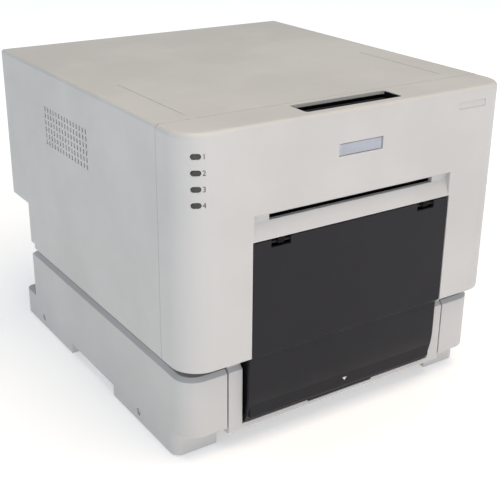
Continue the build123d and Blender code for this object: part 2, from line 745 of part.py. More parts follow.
def door_leg():
    """The door's leg: two cheeks and a back wall on a round-edged floor, around the scrap box."""
    bay = OPENING_HALF_W + LEG_SIDE_GAP
    bevel_y = LEG_FRONT + LEG_BEVEL
    back = PANEL_FRONT
    sole = block(-LEG_HALF_W, LEG_HALF_W, LEG_FRONT, back, LEG_LOW_Z, HINGE_Z)
    low_edges = [e for e in sole.edges().filter_by(Axis.X) if e.center().Z < LEG_LOW_Z + 1]
    sole = fillet(low_edges, LEG_ROUND)
    floor_z = SCRAP_BOTTOM_Z - SCRAP_FLOOR_GAP
    sole -= block(-bay, bay, LEG_FRONT - 1, back - LEG_WALL, floor_z, HINGE_Z + 1)
    tab_x = SCRAP_TAB_HALF_W + SCRAP_TAB_GAP
    sole -= block(-tab_x, tab_x, LEG_FRONT - 1, LEG_FRONT + SCRAP_WALL + 1,
                  floor_z - SCRAP_TAB_DROP, floor_z + 1)
    cheek_outline = [
        (LEG_FRONT, HINGE_Z),
        (back, HINGE_Z),
        (back, LEG_TOP_Z),
        (bevel_y, LEG_TOP_Z),
        (bevel_y, LEG_BEVEL_Z + LEG_BEVEL),
        (LEG_FRONT, LEG_BEVEL_Z),
    ]
    leg = sole + both_sides(prism_x(cheek_outline, bay, LEG_HALF_W))
    leg += block(-bay, bay, back - LEG_WALL, back, HINGE_Z, LEG_TOP_Z)
    pin_in = LEG_HALF_W - HINGE_PIN_LENGTH / 2
    for solid in both_sides(rod_x(pin_in, LEG_HALF_W + 1, HINGE_Y, HINGE_Z, HINGE_PIN_R)):
        leg -= solid
    return leg


def hinge_pins():
    """Two steel pins fixed in the leg, turning in the base."""
    x = LEG_HALF_W - HINGE_PIN_LENGTH / 2
    return solids_of(*both_sides(rod_x(x, x + HINGE_PIN_LENGTH, HINGE_Y, HINGE_Z, HINGE_PIN_R)))


def led_posts():
    """Height and side place of the posts behind the lamp board."""
    x = corner_centre()[0]
    low = LED_TOP_Z - (LED_COUNT - 1) * LED_PITCH - LED_POST_END
    high = LED_TOP_Z + LED_POST_END
    return [(post_x, z) for post_x in (x - LED_POST_OUT, x + LED_POST_IN) for z in (low, high)]


def led_board_front():
    """Y of the lamp board's front face, just behind the lamps."""
    return corner_centre()[1] - (DOOR_CORNER_R - LED_DEPTH) * cos(radians(LED_ANGLE)) + LED_HEIGHT


def door_inner_panel():
    """The back wall of the door, with ears for the latch shaft and posts for the lamp board."""
    x = HALF_W - WALL
    panel = block(-x, x, PANEL_FRONT, PANEL_BACK, DOOR_BOTTOM_Z + 2, HEIGHT - WALL)
    panel -= chute_space(PANEL_FRONT - 1, PANEL_BACK + 1)
    panel -= block(-SCOOP_HALF_W, SCOOP_HALF_W, PANEL_FRONT - 1, PANEL_BACK + 1, BIN_TOP_Z, OPENING_TOP_Z)
    for side in (-1, 1):
        hook_x = side * HOOK_X
        half = HOOK_WIDTH / 2 + 2
        panel -= block(hook_x - half, hook_x + half, PANEL_FRONT - 1, PANEL_BACK + 1,
                       LATCH_Z - LATCH_HUB_R - 6, LATCH_Z + LATCH_HUB_R + HOOK_RISE + 2)
        ear_x = side * LATCH_EAR_X
        ear = block(ear_x - LATCH_EAR_T / 2, ear_x + LATCH_EAR_T / 2, LATCH_Y, PANEL_FRONT + 1,
                    LATCH_Z - LATCH_HUB_R, LATCH_Z + LATCH_HUB_R)
        ear += rod_x(ear_x - LATCH_EAR_T / 2, ear_x + LATCH_EAR_T / 2, LATCH_Y, LATCH_Z, LATCH_HUB_R)
        panel += ear
    reach = LATCH_EAR_X + LATCH_EAR_CLEAR
    panel -= rod_x(-reach, reach, LATCH_Y, LATCH_Z, LATCH_SHAFT_R + LATCH_BORE_GAP)
    for post_x, post_z in led_posts():
        panel += rod_y(post_x, led_board_front() + BOARD_T, PANEL_FRONT + 1, post_z, POST_R - 0.5)
    return panel


def chute_space(y0, y1):
    """The flat space that a print slides through on its way out."""
    x = EXIT_HALF_W + CHUTE_SIDE
    return block(-x, x, y0, y1, EXIT_Z - CHUTE_BELOW, EXIT_Z + CHUTE_ABOVE)


def door_exit_guide():
    """A flat tube inside the door that leads the print to the slot, and the scrap box's two lugs."""
    x = EXIT_HALF_W + CHUTE_SIDE + CHUTE_SIDE_WALL
    outer = block(-x, x, FRONT + EXIT_WALL, PANEL_FRONT,
                  EXIT_Z - CHUTE_BELOW - CHUTE_WALL, EXIT_Z + CHUTE_ABOVE + CHUTE_WALL)
    return solids_of(outer - chute_space(FRONT, SEAM_Y), *scrap_lugs())


def finger_well():
    """The dark cup in the finger slot, with its rim just under the door's top, open towards the lever."""
    wall = FINGER_WELL_WALL
    x = FINGER_HALF_W
    front = FRONT + FINGER_FRONT_SETBACK
    back = LATCH_Y - LATCH_SHAFT_R - LATCH_EAR_T
    top = HEIGHT - FINGER_RIM_DROP
    cup = block(-x - wall, x + wall, front - wall, back, FINGER_WELL_Z - wall, top)
    for solid in both_sides(block(x, x + wall, back - 1, front + FINGER_WIDTH - FINGER_CORNER_R,
                                  top - FINGER_SIDE_HEIGHT, top)):
        cup += solid
    cup = round_corners(cup, FINGER_CORNER_R, lambda c: c.Y < front)
    return cup - block(-x, x, front, FRONT + DOOR_DEPTH, FINGER_WELL_Z, top + 1)


def led_board():
    """The small circuit board behind the lamps."""
    posts = led_posts()
    y = led_board_front()
    xs = [p[0] for p in posts]
    zs = [p[1] for p in posts]
    rim = LED_BOARD_RIM
    return block(min(xs) - rim, max(xs) + rim, y, y + BOARD_T, min(zs) - rim, max(zs) + rim)


def led_lenses():
    """Four oval smoked lenses, flush with the rounded corner."""
    x, y = corner_centre()
    flush = rod_z(x, y, 0, HEIGHT, DOOR_CORNER_R)
    lenses = []
    for prism in led_prisms(0, DOOR_CORNER_R - LED_DEPTH, DOOR_CORNER_R + 1):
        lenses.append(prism & flush)
    return solids_of(*lenses)


def badge_plate():
    """A blank satin plate with a slightly hollow face, in its pocket."""
    plate = block(-BADGE_HALF_W + 0.15, BADGE_HALF_W - 0.15, FRONT + 0.2, FRONT + BADGE_DEPTH,
                  BADGE_Z + 0.15, BADGE_Z + BADGE_HEIGHT - 0.15)
    hollow_r = 60.0
    return plate - rod_x(-HALF_W, HALF_W, FRONT + 0.45 - hollow_r, BADGE_Z + BADGE_HEIGHT / 2, hollow_r)


# Door latch


def release_lever():
    """The wide lever behind the finger slot, on the latch shaft."""
    top = HEIGHT - WALL - LEVER_TOP_GAP
    front = LATCH_Y - LEVER_T / 2
    outline = [
        (front, LATCH_Z),
        (LATCH_Y + LEVER_T / 2, LATCH_Z),
        (LATCH_Y + LEVER_T / 2, top),
        (LATCH_Y - LEVER_T / 2 + LEVER_STEP, top),
        (LATCH_Y - LEVER_T / 2 + LEVER_STEP, top - LEVER_STEP),
        (front, top - LEVER_STEP),
    ]
    lever = prism_x(outline, -LEVER_HALF_W, LEVER_HALF_W)
    lever += rod_x(-LEVER_HALF_W, LEVER_HALF_W, LATCH_Y, LATCH_Z, LATCH_HUB_R)
    return lever - rod_x(-HALF_W, HALF_W, LATCH_Y, LATCH_Z, LATCH_SHAFT_R)


def latch_shaft():
    """The steel shaft that joins the lever to the two hooks."""
    return rod_x(-LATCH_SHAFT_HALF, LATCH_SHAFT_HALF, LATCH_Y, LATCH_Z, LATCH_SHAFT_R)


def latch_hooks():
    """Two hooks that reach back through the seam, just under their keepers."""
    hooks = []
    tip_y = LATCH_Y + HOOK_REACH
    low = LATCH_Z - LATCH_HUB_R / 2
    high = LATCH_Z + LATCH_HUB_R / 2
    outline = [
        (LATCH_Y, low),
        (tip_y, low),
        (tip_y, high),
        (tip_y - HOOK_TIP / 2, high + HOOK_RISE),
        (tip_y - HOOK_TIP, high + HOOK_RISE),
        (tip_y - HOOK_TIP, high),
        (LATCH_Y, high),
    ]
    for side in (-1, 1):
        x0 = side * HOOK_X - HOOK_WIDTH / 2
        hook = prism_x(outline, x0, x0 + HOOK_WIDTH)
        hook += rod_x(x0, x0 + HOOK_WIDTH, LATCH_Y, LATCH_Z, LATCH_HUB_R)
        hooks.append(hook - rod_x(-HALF_W, HALF_W, LATCH_Y, LATCH_Z, LATCH_SHAFT_R))
    return solids_of(*hooks)


def latch_spring():
    """A torsion spring around the latch shaft, drawn as an open coil."""
    coil_r = LATCH_SHAFT_R + SPRING_COIL_GAP + SPRING_WIRE_R
    path = Helix(SPRING_PITCH, SPRING_LENGTH, coil_r)
    section = Plane(origin=path @ 0, z_dir=path % 0) * Circle(SPRING_WIRE_R)
    coil = sweep(section, path=path, is_frenet=True)
    return Pos(SPRING_X, LATCH_Y, LATCH_Z) * Rot(0, 90, 0) * coil


# Scrap box


def scrap_panel():
    """The black panel: flush with the door, set back below it, and curving back on one arc at its foot."""
    low = SCRAP_BOTTOM_Z
    sweep_back = LEG_FRONT - SCRAP_LOW_FRONT
    height = SCRAP_STRAIGHT_Z - low
    radius = (sweep_back ** 2 + height ** 2) / (2 * sweep_back)
    middle = radius - sqrt(radius ** 2 - (height / 2) ** 2)
    middle_z = SCRAP_STRAIGHT_Z - height / 2
    lines = Curve()
    ends = []
    for depth in (0, SCRAP_WALL):
        y = SCRAP_LOW_FRONT + depth
        top = (-SCRAP_HALF_W, SCRAP_FRONT + depth, SCRAP_TOP_Z)
        shelf = (-SCRAP_HALF_W, SCRAP_FRONT + depth, SCRAP_STEP_Z)
        set_back = (-SCRAP_HALF_W, y, SCRAP_STEP_Z - SCRAP_STEP)
        bend = (-SCRAP_HALF_W, y, SCRAP_STRAIGHT_Z)
        foot = (-SCRAP_HALF_W, y + sweep_back, low)
        ends.append((top, foot))
        lines += Line(top, shelf) + Line(shelf, set_back) + Line(set_back, bend)
        lines += ThreePointArc(bend, (-SCRAP_HALF_W, y + middle, middle_z), foot)
    lines += Line(ends[0][0], ends[1][0]) + Line(ends[0][1], ends[1][1])
    return extrude(make_face(lines), amount=2 * SCRAP_HALF_W, dir=(1, 0, 0))


def scrap_bin():
    """The open-topped bin behind the black panel."""
    x = OPENING_HALF_W + LEG_SIDE_GAP - BIN_SIDE_GAP
    front = SCRAP_LOW_FRONT + SCRAP_WALL
    back = PANEL_FRONT - LEG_WALL - BIN_BACK_GAP
    low = HINGE_Z + BIN_FLOOR_RISE
    upper_front = SCRAP_FRONT + SCRAP_WALL
    bin_body = block(-x, x, front - SCRAP_WALL / 2, back, low, SCRAP_STEP_Z)
    bin_body += block(-x, x, upper_front - SCRAP_WALL / 2, back, SCRAP_STEP_Z, BIN_TOP_Z)
    inner = x - BIN_WALL
    bin_body -= block(-inner, inner, front, back - BIN_WALL, low + BIN_WALL, SCRAP_STEP_Z + 1)
    return bin_body - block(-inner, inner, upper_front, back - BIN_WALL, SCRAP_STEP_Z, BIN_TOP_Z + 1)


def scrap_box():
    """The black scrap box: curved front panel, bin and two pivot rods."""
    box = scrap_panel()
    box += scrap_bin()
    low = SCRAP_BOTTOM_Z
    box += block(-SCRAP_TAB_HALF_W, SCRAP_TAB_HALF_W, LEG_FRONT, LEG_FRONT + SCRAP_WALL,
                 low - SCRAP_TAB_DROP, low + 1)
    for side in (-1, 1):
        x0 = side * SCRAP_NOTCH_X - SCRAP_NOTCH_W / 2
        box -= block(x0, x0 + SCRAP_NOTCH_W, FRONT, SCRAP_FRONT + SCRAP_WALL + 1,
                     SCRAP_TOP_Z - SCRAP_NOTCH_H, SCRAP_TOP_Z + 1)
        box += rod_x(x0 - 1, x0 + SCRAP_NOTCH_W + 1, SCRAP_PIVOT_Y, SCRAP_PIVOT_Z, SCRAP_ROD_R)
    return box


# Chassis


def bottom_plate():
    """The steel floor plate in the base."""
    x = FRAME_OUT_X + FLOOR_RIM
    return block(-x, x, FRAME_FRONT_Y, FRAME_BACK_Y, FLOOR_Z, CHASSIS_Z)


def frame_holes():
    """Place and radius of each hole that both side frames share."""
    bush = ROLLER_SHAFT_R + SHAFT_FIT + BUSH_T
    return [
        (ROLL_Y, ROLL_Z, SPINDLE_R + SHAFT_FIT),
        (PLATEN_Y, PLATEN_Z, bush),
        (FEED_Y, FEED_Z, bush),
        (FEED_Y, PINCH_Z, PINCH_R / 2 + SHAFT_FIT),
        (SUPPLY_Y, SUPPLY_Z, RIBBON_SHAFT_R + SHAFT_FIT),
        (TAKEUP_Y, TAKEUP_Z, RIBBON_SHAFT_R + SHAFT_FIT),
        (ARM_PIVOT_Y, ARM_PIVOT_Z, ARM_SHAFT_R + SHAFT_FIT),
    ]


def side_frame():
    """The right side frame, before the holes that only one side has."""
    frame = block(FRAME_X, FRAME_OUT_X, FRAME_FRONT_Y, FRAME_BACK_Y, CHASSIS_Z, FRAME_TOP_Z)
    for y, z, r in frame_holes():
        frame -= rod_x(FRAME_X - 1, FRAME_OUT_X + 1, y, z, r)
    window = block(FRAME_X - 1, FRAME_OUT_X + 1, PLATEN_Y + WINDOW_FRONT_GAP, FRAME_BACK_Y - WINDOW_BACK_GAP,
                   WINDOW_LOW_Z, FRAME_TOP_Z - WINDOW_TOP_DROP)
    return frame - round_corners_x(window, WINDOW_R)


def round_corners_x(solid, radius):
    """Round the edges that run along X."""
    return fillet(solid.edges().filter_by(Axis.X), radius)


def left_side_frame():
    """The left side frame, with the hole for the head lock lever."""
    frame = mirror(side_frame(), about=Plane.YZ)
    return frame - rod_x(-FRAME_OUT_X - 1, -FRAME_X + 1, LOCK_Y, LOCK_Z, LOCK_PIN_R + SHAFT_FIT)


def right_side_frame():
    """The right side frame, with the idler's axle and the motor's shaft hole."""
    frame = side_frame()
    idler_y, idler_z = idler_place()
    motor_y, motor_z = motor_place()
    frame += rod_x(FRAME_X, GEAR_X + GEAR_WIDTH + 2, idler_y, idler_z, ROLLER_SHAFT_R)
    return frame - rod_x(FRAME_X - 1, FRAME_OUT_X + 1, motor_y, motor_z, PINION_SHAFT_R + 1)


def tie_bars():
    """Round steel bars between the side frames."""
    return solids_of(*[rod_x(-FRAME_X, FRAME_X, y, z, TIE_BAR_R) for y, z in TIE_BARS])


def latch_beam():
    """The beam across the frames' tops, with the two keepers of the door latch."""
    front = SEAM_Y + SEAM_GAP + 2
    end = HOOK_X + HOOK_WIDTH / 2 + BEAM_END
    back = FRAME_FRONT_Y + BEAM_DEPTH
    beam = block(-end, end, front, back, FRAME_TOP_Z, FRAME_TOP_Z + BEAM_T)
    low = LATCH_Z + LATCH_HUB_R / 2 + HOOK_RISE + KEEPER_GAP
    for side in (-1, 1):
        x0 = side * HOOK_X - HOOK_WIDTH / 2 - 1
        beam += block(x0, x0 + HOOK_WIDTH + 2, front, front + BEAM_T, low, FRAME_TOP_Z + BEAM_T)
    return beam


def roller_bushes():
    """Brass bushes in the side frames for the platen and feed rollers."""
    bushes = []
    for y, z in ((PLATEN_Y, PLATEN_Z), (FEED_Y, FEED_Z)):
        start = FRAME_OUT_X - BUSH_LENGTH
        bush = rod_x(start, FRAME_OUT_X, y, z, ROLLER_SHAFT_R + SHAFT_FIT + BUSH_T)
        bush -= rod_x(0, HALF_W, y, z, ROLLER_SHAFT_R + SHAFT_FIT)
        bushes.extend(both_sides(bush))
    return solids_of(*bushes)


# Paper roll


def paper_roll():
    """The wound paper on its cardboard core."""
    roll = rod_x(-MEDIA_HALF_W, MEDIA_HALF_W, ROLL_Y, ROLL_Z, ROLL_R)
    return roll - rod_x(-HALF_W, HALF_W, ROLL_Y, ROLL_Z, CORE_R)


def paper_core():
    """The cardboard tube in the paper roll."""
    tube = rod_x(-MEDIA_HALF_W, MEDIA_HALF_W, ROLL_Y, ROLL_Z, CORE_R)
    return tube - rod_x(-HALF_W, HALF_W, ROLL_Y, ROLL_Z, CORE_R - 3)


def roll_flanges():
    """Two flanges with hubs in the core, on one spindle across the frames."""
    flange = rod_x(MEDIA_HALF_W, MEDIA_HALF_W + FLANGE_T, ROLL_Y, ROLL_Z, FLANGE_R)
    flange += rod_x(MEDIA_HALF_W - 15, MEDIA_HALF_W, ROLL_Y, ROLL_Z, CORE_R - 3)
    spindle = rod_x(-FRAME_OUT_X, FRAME_OUT_X, ROLL_Y, ROLL_Z, SPINDLE_R)
    return spindle + both_sides(flange)


# Rollers and gears


def meet(y0, z0, r0, y1, z1, r1):
    """The lower point at distance r0 from the first centre and r1 from the second."""
    span = hypot(y1 - y0, z1 - z0)
    along = (r0 ** 2 - r1 ** 2 + span ** 2) / (2 * span)
    aside = sqrt(r0 ** 2 - along ** 2)
    uy = (y1 - y0) / span
    uz = (z1 - z0) / span
    ends = [(y0 + along * uy - s * aside * uz, z0 + along * uz + s * aside * uy) for s in (-1, 1)]
    return min(ends, key=lambda end: end[1])


def pitch_r(teeth):
    """Pitch radius of a gear."""
    return MODULE * teeth / 2


def spacing(teeth_a, teeth_b):
    """Centre distance of two meshed gears."""
    return pitch_r(teeth_a) + pitch_r(teeth_b) + MESH_EASE


def idler_place():
    """The idler meshes with both roller gears, below them."""
    return meet(PLATEN_Y, PLATEN_Z, spacing(PLATEN_TEETH, IDLER_TEETH),
                FEED_Y, FEED_Z, spacing(FEED_TEETH, IDLER_TEETH))


def motor_place():
    """The motor sits straight below the idler."""
    y, z = idler_place()
    return y, z - spacing(IDLER_TEETH, PINION_TEETH)


def mesh_phase(place_a, teeth_a, phase_a, place_b, teeth_b):
    """The angle of a tooth on gear b, so that it meshes with gear a."""
    toward = atan2(place_b[1] - place_a[1], place_b[0] - place_a[0])
    pitch = pi * MODULE
    slide = pitch / 2 - (phase_a - toward) * pitch_r(teeth_a)
    return toward + pi + slide / pitch_r(teeth_b)


def involute(angle):
    """The involute function of a pressure angle."""
    return tan(angle) - angle


def tooth_points(teeth, centre):
    """One tooth's outline: two involute flanks between root and tip."""
    pressure = radians(20)
    pitch = pitch_r(teeth)
    base = pitch * cos(pressure)
    tip = pitch + 0.9 * MODULE
    root = pitch - 1.15 * MODULE
    half = pi / (2 * teeth) - BACKLASH / (2 * pitch) + involute(pressure)
    start = max(base, root)
    steps = 4
    flank = []
    for i in range(steps + 1):
        r = start + (tip - start) * i / steps
        turn = half - involute(acos(min(1.0, base / r)))
        flank.append((r, turn))
    if base > root:
        flank.insert(0, (root, flank[0][1]))
    left = [(r, centre - turn) for r, turn in flank]
    right = [(r, centre + turn) for r, turn in reversed(flank)]
    return left + right


def gear(place, teeth, phase, bore):
    """A spur gear in the Y-Z plane on the outside of the right side frame."""
    y, z = place
    points = []
    for i in range(teeth):
        for r, turn in tooth_points(teeth, phase + 2 * pi * i / teeth):
            points.append((y + r * cos(turn), z + r * sin(turn)))
    wheel = prism_x(points, GEAR_X, GEAR_X + GEAR_WIDTH)
    return wheel - rod_x(0, HALF_W, y, z, bore)


def gear_phases():
    """The tooth angle of each gear, starting from the platen's."""
    idler = mesh_phase((PLATEN_Y, PLATEN_Z), PLATEN_TEETH, 0.0, idler_place(), IDLER_TEETH)
    feed = mesh_phase(idler_place(), IDLER_TEETH, idler, (FEED_Y, FEED_Z), FEED_TEETH)
    pinion = mesh_phase(idler_place(), IDLER_TEETH, idler, motor_place(), PINION_TEETH)
    return idler, feed, pinion


def platen_roller():
    """The rubber sleeve of the platen roller."""
    sleeve = rod_x(-PLATEN_HALF_W, PLATEN_HALF_W, PLATEN_Y, PLATEN_Z, PLATEN_R)
    return sleeve - rod_x(-HALF_W, HALF_W, PLATEN_Y, PLATEN_Z, ROLLER_SHAFT_R)


def platen_shaft():
    """The platen roller's shaft, long enough for its gear."""
    return rod_x(-FRAME_OUT_X - 1, GEAR_X + GEAR_WIDTH + 1, PLATEN_Y, PLATEN_Z, ROLLER_SHAFT_R)


def feed_roller():
    """The steel feed roller with thinner ends."""
    roller = rod_x(-PLATEN_HALF_W, PLATEN_HALF_W, FEED_Y, FEED_Z, FEED_R)
    return roller + rod_x(-FRAME_OUT_X - 1, GEAR_X + GEAR_WIDTH + 1, FEED_Y, FEED_Z, ROLLER_SHAFT_R)


def pinch_roller():
    """The roller that presses the paper on the feed roller."""
    roller = rod_x(-PLATEN_HALF_W, PLATEN_HALF_W, FEED_Y, PINCH_Z, PINCH_R)
    return roller + rod_x(-FRAME_OUT_X, FRAME_OUT_X, FEED_Y, PINCH_Z, PINCH_R / 2)


def motor_pinion(phase):
    """The pinion with its shaft, which ends in the motor."""
    y, z = motor_place()
    wheel = gear((y, z), PINION_TEETH, phase, PINION_SHAFT_R / 2)
    return wheel + rod_x(FRAME_X - 4, GEAR_X + GEAR_WIDTH, y, z, PINION_SHAFT_R)


def feed_motor():
    """The square motor inside the right side frame."""
    y, z = motor_place()
    half = MOTOR_SIDE / 2
    body = block(FRAME_X - MOTOR_LENGTH, FRAME_X, y - half, y + half, z - half, z + half)
    body = fillet(body.edges().filter_by(Axis.X), 4)
    return body - rod_x(FRAME_X - 6, FRAME_X + 1, y, z, PINION_SHAFT_R + SHAFT_FIT)


# Ribbon


def ribbon_spool(y, z):
    """A ribbon core on its shaft."""
    core = rod_x(-MEDIA_HALF_W - 4, MEDIA_HALF_W + 4, y, z, RIBBON_CORE_R)
    return core + rod_x(-FRAME_OUT_X, FRAME_OUT_X, y, z, RIBBON_SHAFT_R)


def ribbon_roll(y, z, r):
    """The ribbon wound on a core."""
    return rod_x(-MEDIA_HALF_W, MEDIA_HALF_W, y, z, r) - rod_x(-HALF_W, HALF_W, y, z, RIBBON_CORE_R)


def ribbon_motors():
    """Two small round motors outside the left side frame, one on each spool's axis."""
    motors = []
    for y, z in ((SUPPLY_Y, SUPPLY_Z), (TAKEUP_Y, TAKEUP_Z)):
        motors.append(rod_x(-FRAME_OUT_X - RIBBON_MOTOR_LENGTH, -FRAME_OUT_X, y, z, RIBBON_MOTOR_R))
    return solids_of(*motors)


# Thermal head


def thermal_head():
    """The ceramic print bar, just above the platen."""
    half = HEAD_BAR_DEPTH / 2
    return block(-HEAD_HALF_W, HEAD_HALF_W, HEAD_Y - half, HEAD_Y + half, HEAD_Z, HEAD_Z + HEAD_BAR_T)


def head_heatsink():
    """The finned aluminium block above the print bar."""
    half = HEATSINK_DEPTH / 2
    low = HEAD_Z + HEAD_BAR_T
    sink = block(-HEAD_HALF_W, HEAD_HALF_W, HEAD_Y - half, HEAD_Y + half, low, low + 8)
    pitch = (2 * HEAD_HALF_W - FIN_T) / (FIN_COUNT - 1)
    for i in range(FIN_COUNT):
        x0 = -HEAD_HALF_W + i * pitch
        sink += block(x0, x0 + FIN_T, HEAD_Y - half, HEAD_Y + half, low, HEATSINK_TOP_Z)
    return sink


def head_arm():
    """The arm over the ribbon that carries the head and turns on the pivot shaft."""
    plate = block(-ARM_HALF_W, ARM_HALF_W, ARM_FRONT_Y, ARM_PIVOT_Y, HEATSINK_TOP_Z, HEATSINK_TOP_Z + ARM_T)
    hub = rod_x(-ARM_HALF_W, ARM_HALF_W, ARM_PIVOT_Y, ARM_PIVOT_Z, ARM_SHAFT_R + 3)
    return plate + hub + rod_x(-FRAME_OUT_X, FRAME_OUT_X, ARM_PIVOT_Y, ARM_PIVOT_Z, ARM_SHAFT_R)


def head_lock_lever():
    """The coloured lever that locks the head down, outside the left side frame."""
    x1 = -FRAME_OUT_X - LOCK_GAP
    x0 = x1 - LOCK_T
    low = LOCK_Z - LOCK_LENGTH
    lever = rod_x(x0, x1, LOCK_Y, LOCK_Z, LOCK_PIN_R + LOCK_RIM)
    lever += block(x0, x1, LOCK_Y - LOCK_HALF_W, LOCK_Y + LOCK_HALF_W, low, LOCK_Z)
    lever += rod_x(x0 - LOCK_KNOB, x1, LOCK_Y, low, LOCK_KNOB)
    return lever + rod_x(x1, -FRAME_X + LOCK_PIN_END, LOCK_Y, LOCK_Z, LOCK_PIN_R)


# Cutter


def cutter_rail():
    """The rail that the cutter carriage runs along."""
    half = RAIL_DEPTH / 2
    rail = block(-FRAME_X, FRAME_X, RAIL_Y - half, RAIL_Y + half, RAIL_TOP_Z - RAIL_HEIGHT, RAIL_TOP_Z)
    groove = block(-FRAME_X, FRAME_X, RAIL_Y - GROOVE_HALF_W, RAIL_Y + GROOVE_HALF_W,
                   RAIL_TOP_Z - RAIL_HEIGHT / 2, RAIL_TOP_Z + 1)
    return rail - groove


def cutter_carriage():
    """The carriage, parked beside the paper, with a tongue in the rail's groove."""
    half_w = CARRIAGE_W / 2
    low = RAIL_TOP_Z + CARRIAGE_GAP
    x = CARRIAGE_PARK_X
    front = RAIL_Y - CARRIAGE_HALF_D
    body = block(x - half_w, x + half_w, front, RAIL_Y + CARRIAGE_HALF_D, low, low + CARRIAGE_H)
    tongue = GROOVE_HALF_W - CARRIAGE_GAP
    body += block(x - half_w, x + half_w, RAIL_Y - tongue, RAIL_Y + tongue, low - GROOVE_HALF_W, low + 1)
    return body - rod_y(x, front - 1, front + CUTTER_T + CUTTER_FLOOR, low + CARRIAGE_H,
                        CUTTER_R + CUTTER_POCKET)


def cutter_blade():
    """The round blade on the front of the carriage."""
    z = RAIL_TOP_Z + CARRIAGE_GAP + CARRIAGE_H
    y = RAIL_Y - CARRIAGE_HALF_D + CUTTER_FLOOR
    return rod_y(CARRIAGE_PARK_X, y, y + CUTTER_T, z, CUTTER_R)


def cutter_motor():
    """The small motor under the cutter rail."""
    z = RAIL_TOP_Z - RAIL_HEIGHT - CUTTER_MOTOR_R
    return rod_x(CUTTER_MOTOR_X, CUTTER_MOTOR_X + CUTTER_MOTOR_LENGTH, RAIL_Y, z, CUTTER_MOTOR_R)


def paper_chutes():
    """The print chute behind the door, and the slope that drops scraps into the scrap box."""
    front = SEAM_Y + SLOPE_GAP
    outer = block(-FRAME_X, FRAME_X, front, FRAME_FRONT_Y + CHUTE_WALL,
                  EXIT_Z - CHUTE_BELOW - CHUTE_WALL, EXIT_Z + CHUTE_ABOVE + CHUTE_WALL)
    back = FRAME_FRONT_Y + SLOPE_REACH
    low = OPENING_TOP_Z - SLOPE_DROP
    high = low + SLOPE_RISE
    slope = prism_x([(front, low), (back, high), (back, high + SLOPE_T), (front, low + SLOPE_T)],
                    -FRAME_X, FRAME_X)
    return solids_of(outer - chute_space(SEAM_Y, FRAME_FRONT_Y + SLOPE_GAP), slope)


# Electrical parts


def main_board():
    """The main circuit board on four posts outside the left side frame."""
    board = block(BOARD_X, BOARD_X + BOARD_T, BOARD_Y, BOARD_Y + BOARD_LENGTH,
                  BOARD_Z, BOARD_Z + BOARD_HEIGHT)
    for along, up, w, h, t in CHIPS:
        y = BOARD_Y + along
        z = BOARD_Z + up
        board += block(BOARD_X - t, BOARD_X, y, y + w, z - h / 2, z + h / 2)
    posts = []
    for y in (BOARD_Y + 8, BOARD_Y + BOARD_LENGTH - 8):
        for z in (BOARD_Z + 8, BOARD_Z + BOARD_HEIGHT - 8):
            posts.append(rod_x(BOARD_X + BOARD_T, -FRAME_OUT_X, y, z, POST_R))
    return solids_of(board, *posts)


def power_supply():
    """The closed steel box of the power supply, with vent slots."""
    body = block(SUPPLY_BOX_X, SUPPLY_BOX_X + SUPPLY_BOX_W, SUPPLY_BOX_Y, SUPPLY_BOX_Y + SUPPLY_BOX_D,
                 CHASSIS_Z, CHASSIS_Z + SUPPLY_BOX_H)
    slots = []
    for i in range(8):
        x = SUPPLY_BOX_X + 18 + i * 12
        slots.append(block(x, x + 4, SUPPLY_BOX_Y + 15, SUPPLY_BOX_Y + SUPPLY_BOX_D - 15,
                           CHASSIS_Z + SUPPLY_BOX_H - 2, CHASSIS_Z + SUPPLY_BOX_H + 1))
    return body - slots


def fan_frame():
    """The square fan frame inside the rear panel, with struts behind the rotor."""
    half = FAN_SIDE / 2
    y0 = PANEL_IN_Y - FAN_DEPTH
    frame = block(FAN_X - half, FAN_X + half, y0, PANEL_IN_Y, FAN_Z - half, FAN_Z + half)
    frame = fillet(frame.edges().filter_by(Axis.Y), 4)
    frame -= rod_y(FAN_X, y0 - 1, PANEL_IN_Y + 1, FAN_Z, FAN_BORE_R)
    frame += rod_y(FAN_X, y0, y0 + 2, FAN_Z, FAN_HUB_R - 1)
    for i in range(3):
        strut = block(-1.5, 1.5, y0, y0 + 2, 0, FAN_BORE_R + 1)
        frame += Pos(FAN_X, 0, FAN_Z) * Rot(0, 120 * i, 0) * strut
    return frame


def fan_rotor():
    """The fan's hub and pitched blades."""
    y0 = PANEL_IN_Y - FAN_DEPTH + 2.3
    y1 = PANEL_IN_Y - 1
    rotor = rod_y(FAN_X, y0, y1, FAN_Z, FAN_HUB_R)
    middle = (y0 + y1) / 2
    reach = FAN_BORE_R - FAN_TIP_GAP
    for i in range(FAN_BLADES):
        out = (FAN_HUB_R + reach) / 2 - 0.5
        blade = Pos(0, 0, out) * Rot(0, 0, 35) * Box(1.4, 10, reach - FAN_HUB_R + 1)
        rotor += Pos(FAN_X, middle, FAN_Z) * Rot(0, 360 * i / FAN_BLADES, 0) * blade
    return rotor


def fan_guard():
    """A round wire guard on the outside of the rear panel."""
    y0 = PANEL_OUT_Y
    y1 = y0 + GUARD_WIRE
    last_r = GUARD_FIRST_R + (GUARD_RINGS - 1) * GUARD_STEP
    bars = [Rot(0, angle, 0) * Box(GUARD_WIRE, GUARD_WIRE, 2 * last_r - GUARD_WIRE) for angle in (45, 135)]
    guard = Pos(FAN_X, y0 + GUARD_WIRE / 2, FAN_Z) * (bars[0] + bars[1])
    for i in range(GUARD_RINGS):
        r = GUARD_FIRST_R + i * GUARD_STEP
        guard += rod_y(FAN_X, y0, y1, FAN_Z, r) - rod_y(FAN_X, y0 - 1, y1 + 1, FAN_Z, r - GUARD_WIRE)
    return guard


